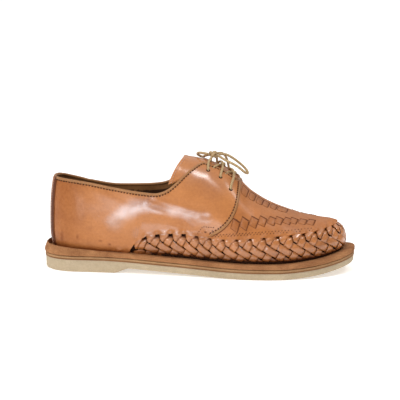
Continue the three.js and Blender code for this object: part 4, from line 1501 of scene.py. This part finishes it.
# painted shadow: a dark line on the quarter beside each backstay edge, bundled with the painted shadow
# beside the front edges
paleThreads, backstayEdgeShadows = [], []
for line, edge in backstayLines:
    paleThreads += sew(line, backstay["outer"], 0.02, backstay["stitch"])
    backstayEdgeShadows.append(sweepOver(edge, backstay["edgeShadowOffset"], 0.55, 0.75))
finishPiece(bundle("edge_shadow_lines", backstayEdgeShadows + shadowRuns, shadeLineBrown), "upper_leather")
finishPiece(bundle("dark_stitching", threads, threadBrown), "upper_leather")
print("backstay sewn, stitches:", len(threads))

# tongue below the facings, its free end stitched
tongue = {
    "outer": 0.95,
    "wall": 1.1,
    "front": 192.0,
    "endMiddle": 134.5,
    "endSide": 122.0,
    "steps": 48,
    "rows": 60,
    "seamShare": 0.962,
    "stitch": (2.8, 1.6, 0.32),  # gap, length, radius
}


def makeTongue():
    shape = np.linspace(-1, 1, tongue["steps"])
    end = blend(tongue["endMiddle"], tongue["endSide"], np.abs(shape) ** 2.2)

    def placeAt(share):
        station = blend(tongue["front"], end, share)
        return topPlace(station, last["throatCentre"] + shape * lineAt["tongueHalf"](station))

    share = np.linspace(0, 1, tongue["rows"])[:, None]
    places = skin(*placeAt(share), tongue["outer"] + 0.5 * bell(share - 1, 0.05))
    piece = drape("tongue_flap", places, [tanHide, liningHide])
    thicken(piece, tongue["wall"], 1, 0)
    return piece, np.stack(placeAt(tongue["seamShare"]), -1)


tonguePiece, tongueLine = makeTongue()
finishPiece(tonguePiece, "upper_leather", "tongue")
tongueThreads = []
middleAt = int(np.argmax(tongueLine[:, 1]))
for part in (tongueLine[:middleAt], tongueLine[middleAt + 1:]):
    tongueThreads += sew(part, tongue["outer"], 0.3, tongue["stitch"])
finishPiece(bundle("pale_stitching", tongueThreads + paleThreads, threadPink), "upper_leather")
print("tongue laid")

# laces: crossings through the eyelets, then the bow
laces = {
    "radius": 1.2,
    "rise": 1.2,
    "bulge": 5.0,
    "strand": [  # share of the way, height, share of the lift
        (0.14, 4.3, 0), (0.32, 4.2, 0), (0.5, 3.4, 1), (0.68, 3.2, 0.5), (0.86, 2.6, 0), (1.0, 1.2, 0),
    ],
    "lifts": {-1: 1.6, 1: -0.6},
    "knotCentre": (162.6, 1.0, 110.8),
    "knotRadius": (4.4, 4.8, 3.2),
    "knotCord": 1.3,
    "ways": {  # node: piece, far end, steps from the knot
        "lace_loop_front": ("bow_loop_front", "object", [
            (4.8, -1.9, -0.7), (11.7, -7.2, -3.9), (23.4, -10, -9.4), (31.6, -8, -16), (33.6, -2.5, -17),
            (31, 1.4, -13.4), (22, 3.5, -6), (12.5, 3, -0.4), (4.8, 1.9, 0.3),
        ]),
        "lace_loop_rear": ("bow_loop_rear", "object", [
            (-4.9, -1.3, 0.6), (-11.5, 1, 1.3), (-15.5, 9, 0), (-16.5, 18, -2.8), (-14, 24.5, -5.6),
            (-11, 19, -5.2), (-9, 10, -2.9), (-4.5, 3.4, -0.8),
        ]),
        "lace_end_long": ("bow_end_long", "bare", [
            (2.5, 4.9, 0.5), (7, 13, -0.4), (10, 21, -4), (12, 28, -11), (13, 34, -20), (13.5, 38, -31),
        ]),
        "lace_end_short": ("bow_end_short", "bare", [
            (-0.6, 5.4, -0.9), (1.2, 14, -1.6), (1.6, 22, -4.6), (1.4, 29, -10.5), (1, 34, -18),
        ]),
    },
}


def laceTube(points, steps=12):
    way = cordWay(points, steps)
    return way, sweep(way, carriedNormals(way), laces["radius"], laces["radius"], 12)


def eyeletStart(number, side):
    return [eyeletSpot(number, side, -0.6)[0], eyeletSpot(number, side, 2.5, laces["rise"])[0]]


def strandTube(number, side):  # up out of an eyelet, over the tongue and in under the other facing
    startStation, startAcross = eyelets["rows"][number]
    endStation = eyelets["rows"][number - 1][0] + 3.0
    fromSide = side * (last["throatCentre"] - startAcross)
    toSide = -side * (float(lineAt["throat"](endStation)) + 4.5)
    points = eyeletStart(number, side)
    for share, height, liftShare in laces["strand"]:
        station = blend(startStation, endStation, share) + laces["bulge"] * math.sin(math.pi * share)
        turn, rise = topPlace(station, last["throatCentre"] + blend(fromSide, toSide, share))
        points.append(skin(turn, rise, height + liftShare * laces["lifts"][side]).reshape(3))
    return laceTube(points, 10)[1]


knot = np.array(laces["knotCentre"])
crossTubes = [strandTube(number, side) for number in (2, 1) for side in (-1, 1)]
for side in (-1, 1):
    over = skin(*topPlace(159.5, last["throatCentre"] + side * 12.5), outer + 1.7)
    crossTubes.append(laceTube([*eyeletStart(0, side), over, knot + (-1.2, side * 3.4, -2.0)])[1])
# painted shade: a near-black disc sunk in each eyelet hole
eyeletShades = []
for number, side in eyeletPlaces:
    middle, normal = eyeletSpot(number, side, 1.9)
    path = middle + np.array([-0.5, 0.0, 0.35])[:, None] * normal
    normals = np.repeat(np.cross(normal, tilted)[None], 3, 0)
    eyeletShades.append(sweep(path, normals, eyelets["darkRadius"], eyelets["darkRadius"], 16))
finishPiece(bundle("eyelet_hole_shade", eyeletShades, shadowDark), "upper_leather")
finishPiece(bundle("lace_rows", crossTubes, laceCotton), "lace_cotton", "lace_crossings")


def makeKnot():  # a trefoil
    spin = np.linspace(0, 2 * np.pi, 90)
    x, y = np.sin(spin) + 2 * np.sin(2 * spin), np.cos(spin) - 2 * np.cos(2 * spin)
    size = (np.array(laces["knotRadius"]) - laces["radius"] * 0.9) / (3.0, 3.0, 1.0)
    path = knot + np.stack([x, y, -np.sin(3 * spin)], -1) * size
    return sweep(path, carriedNormals(path), laces["knotCord"], laces["knotCord"], 10)


finishPiece(bundle("bow_knot", [makeKnot()], laceCotton), "lace_cotton", "lace_knot")
for node, (name, farEnd, steps) in laces["ways"].items():
    way, tube = laceTube([knot + step for step in steps])
    cordPiece = bundle(name, [tube], laceCotton)
    finishPiece(cordPiece, "lace_cotton", node)
    path = inFrame(way)
print("laces tied")

print("object done")
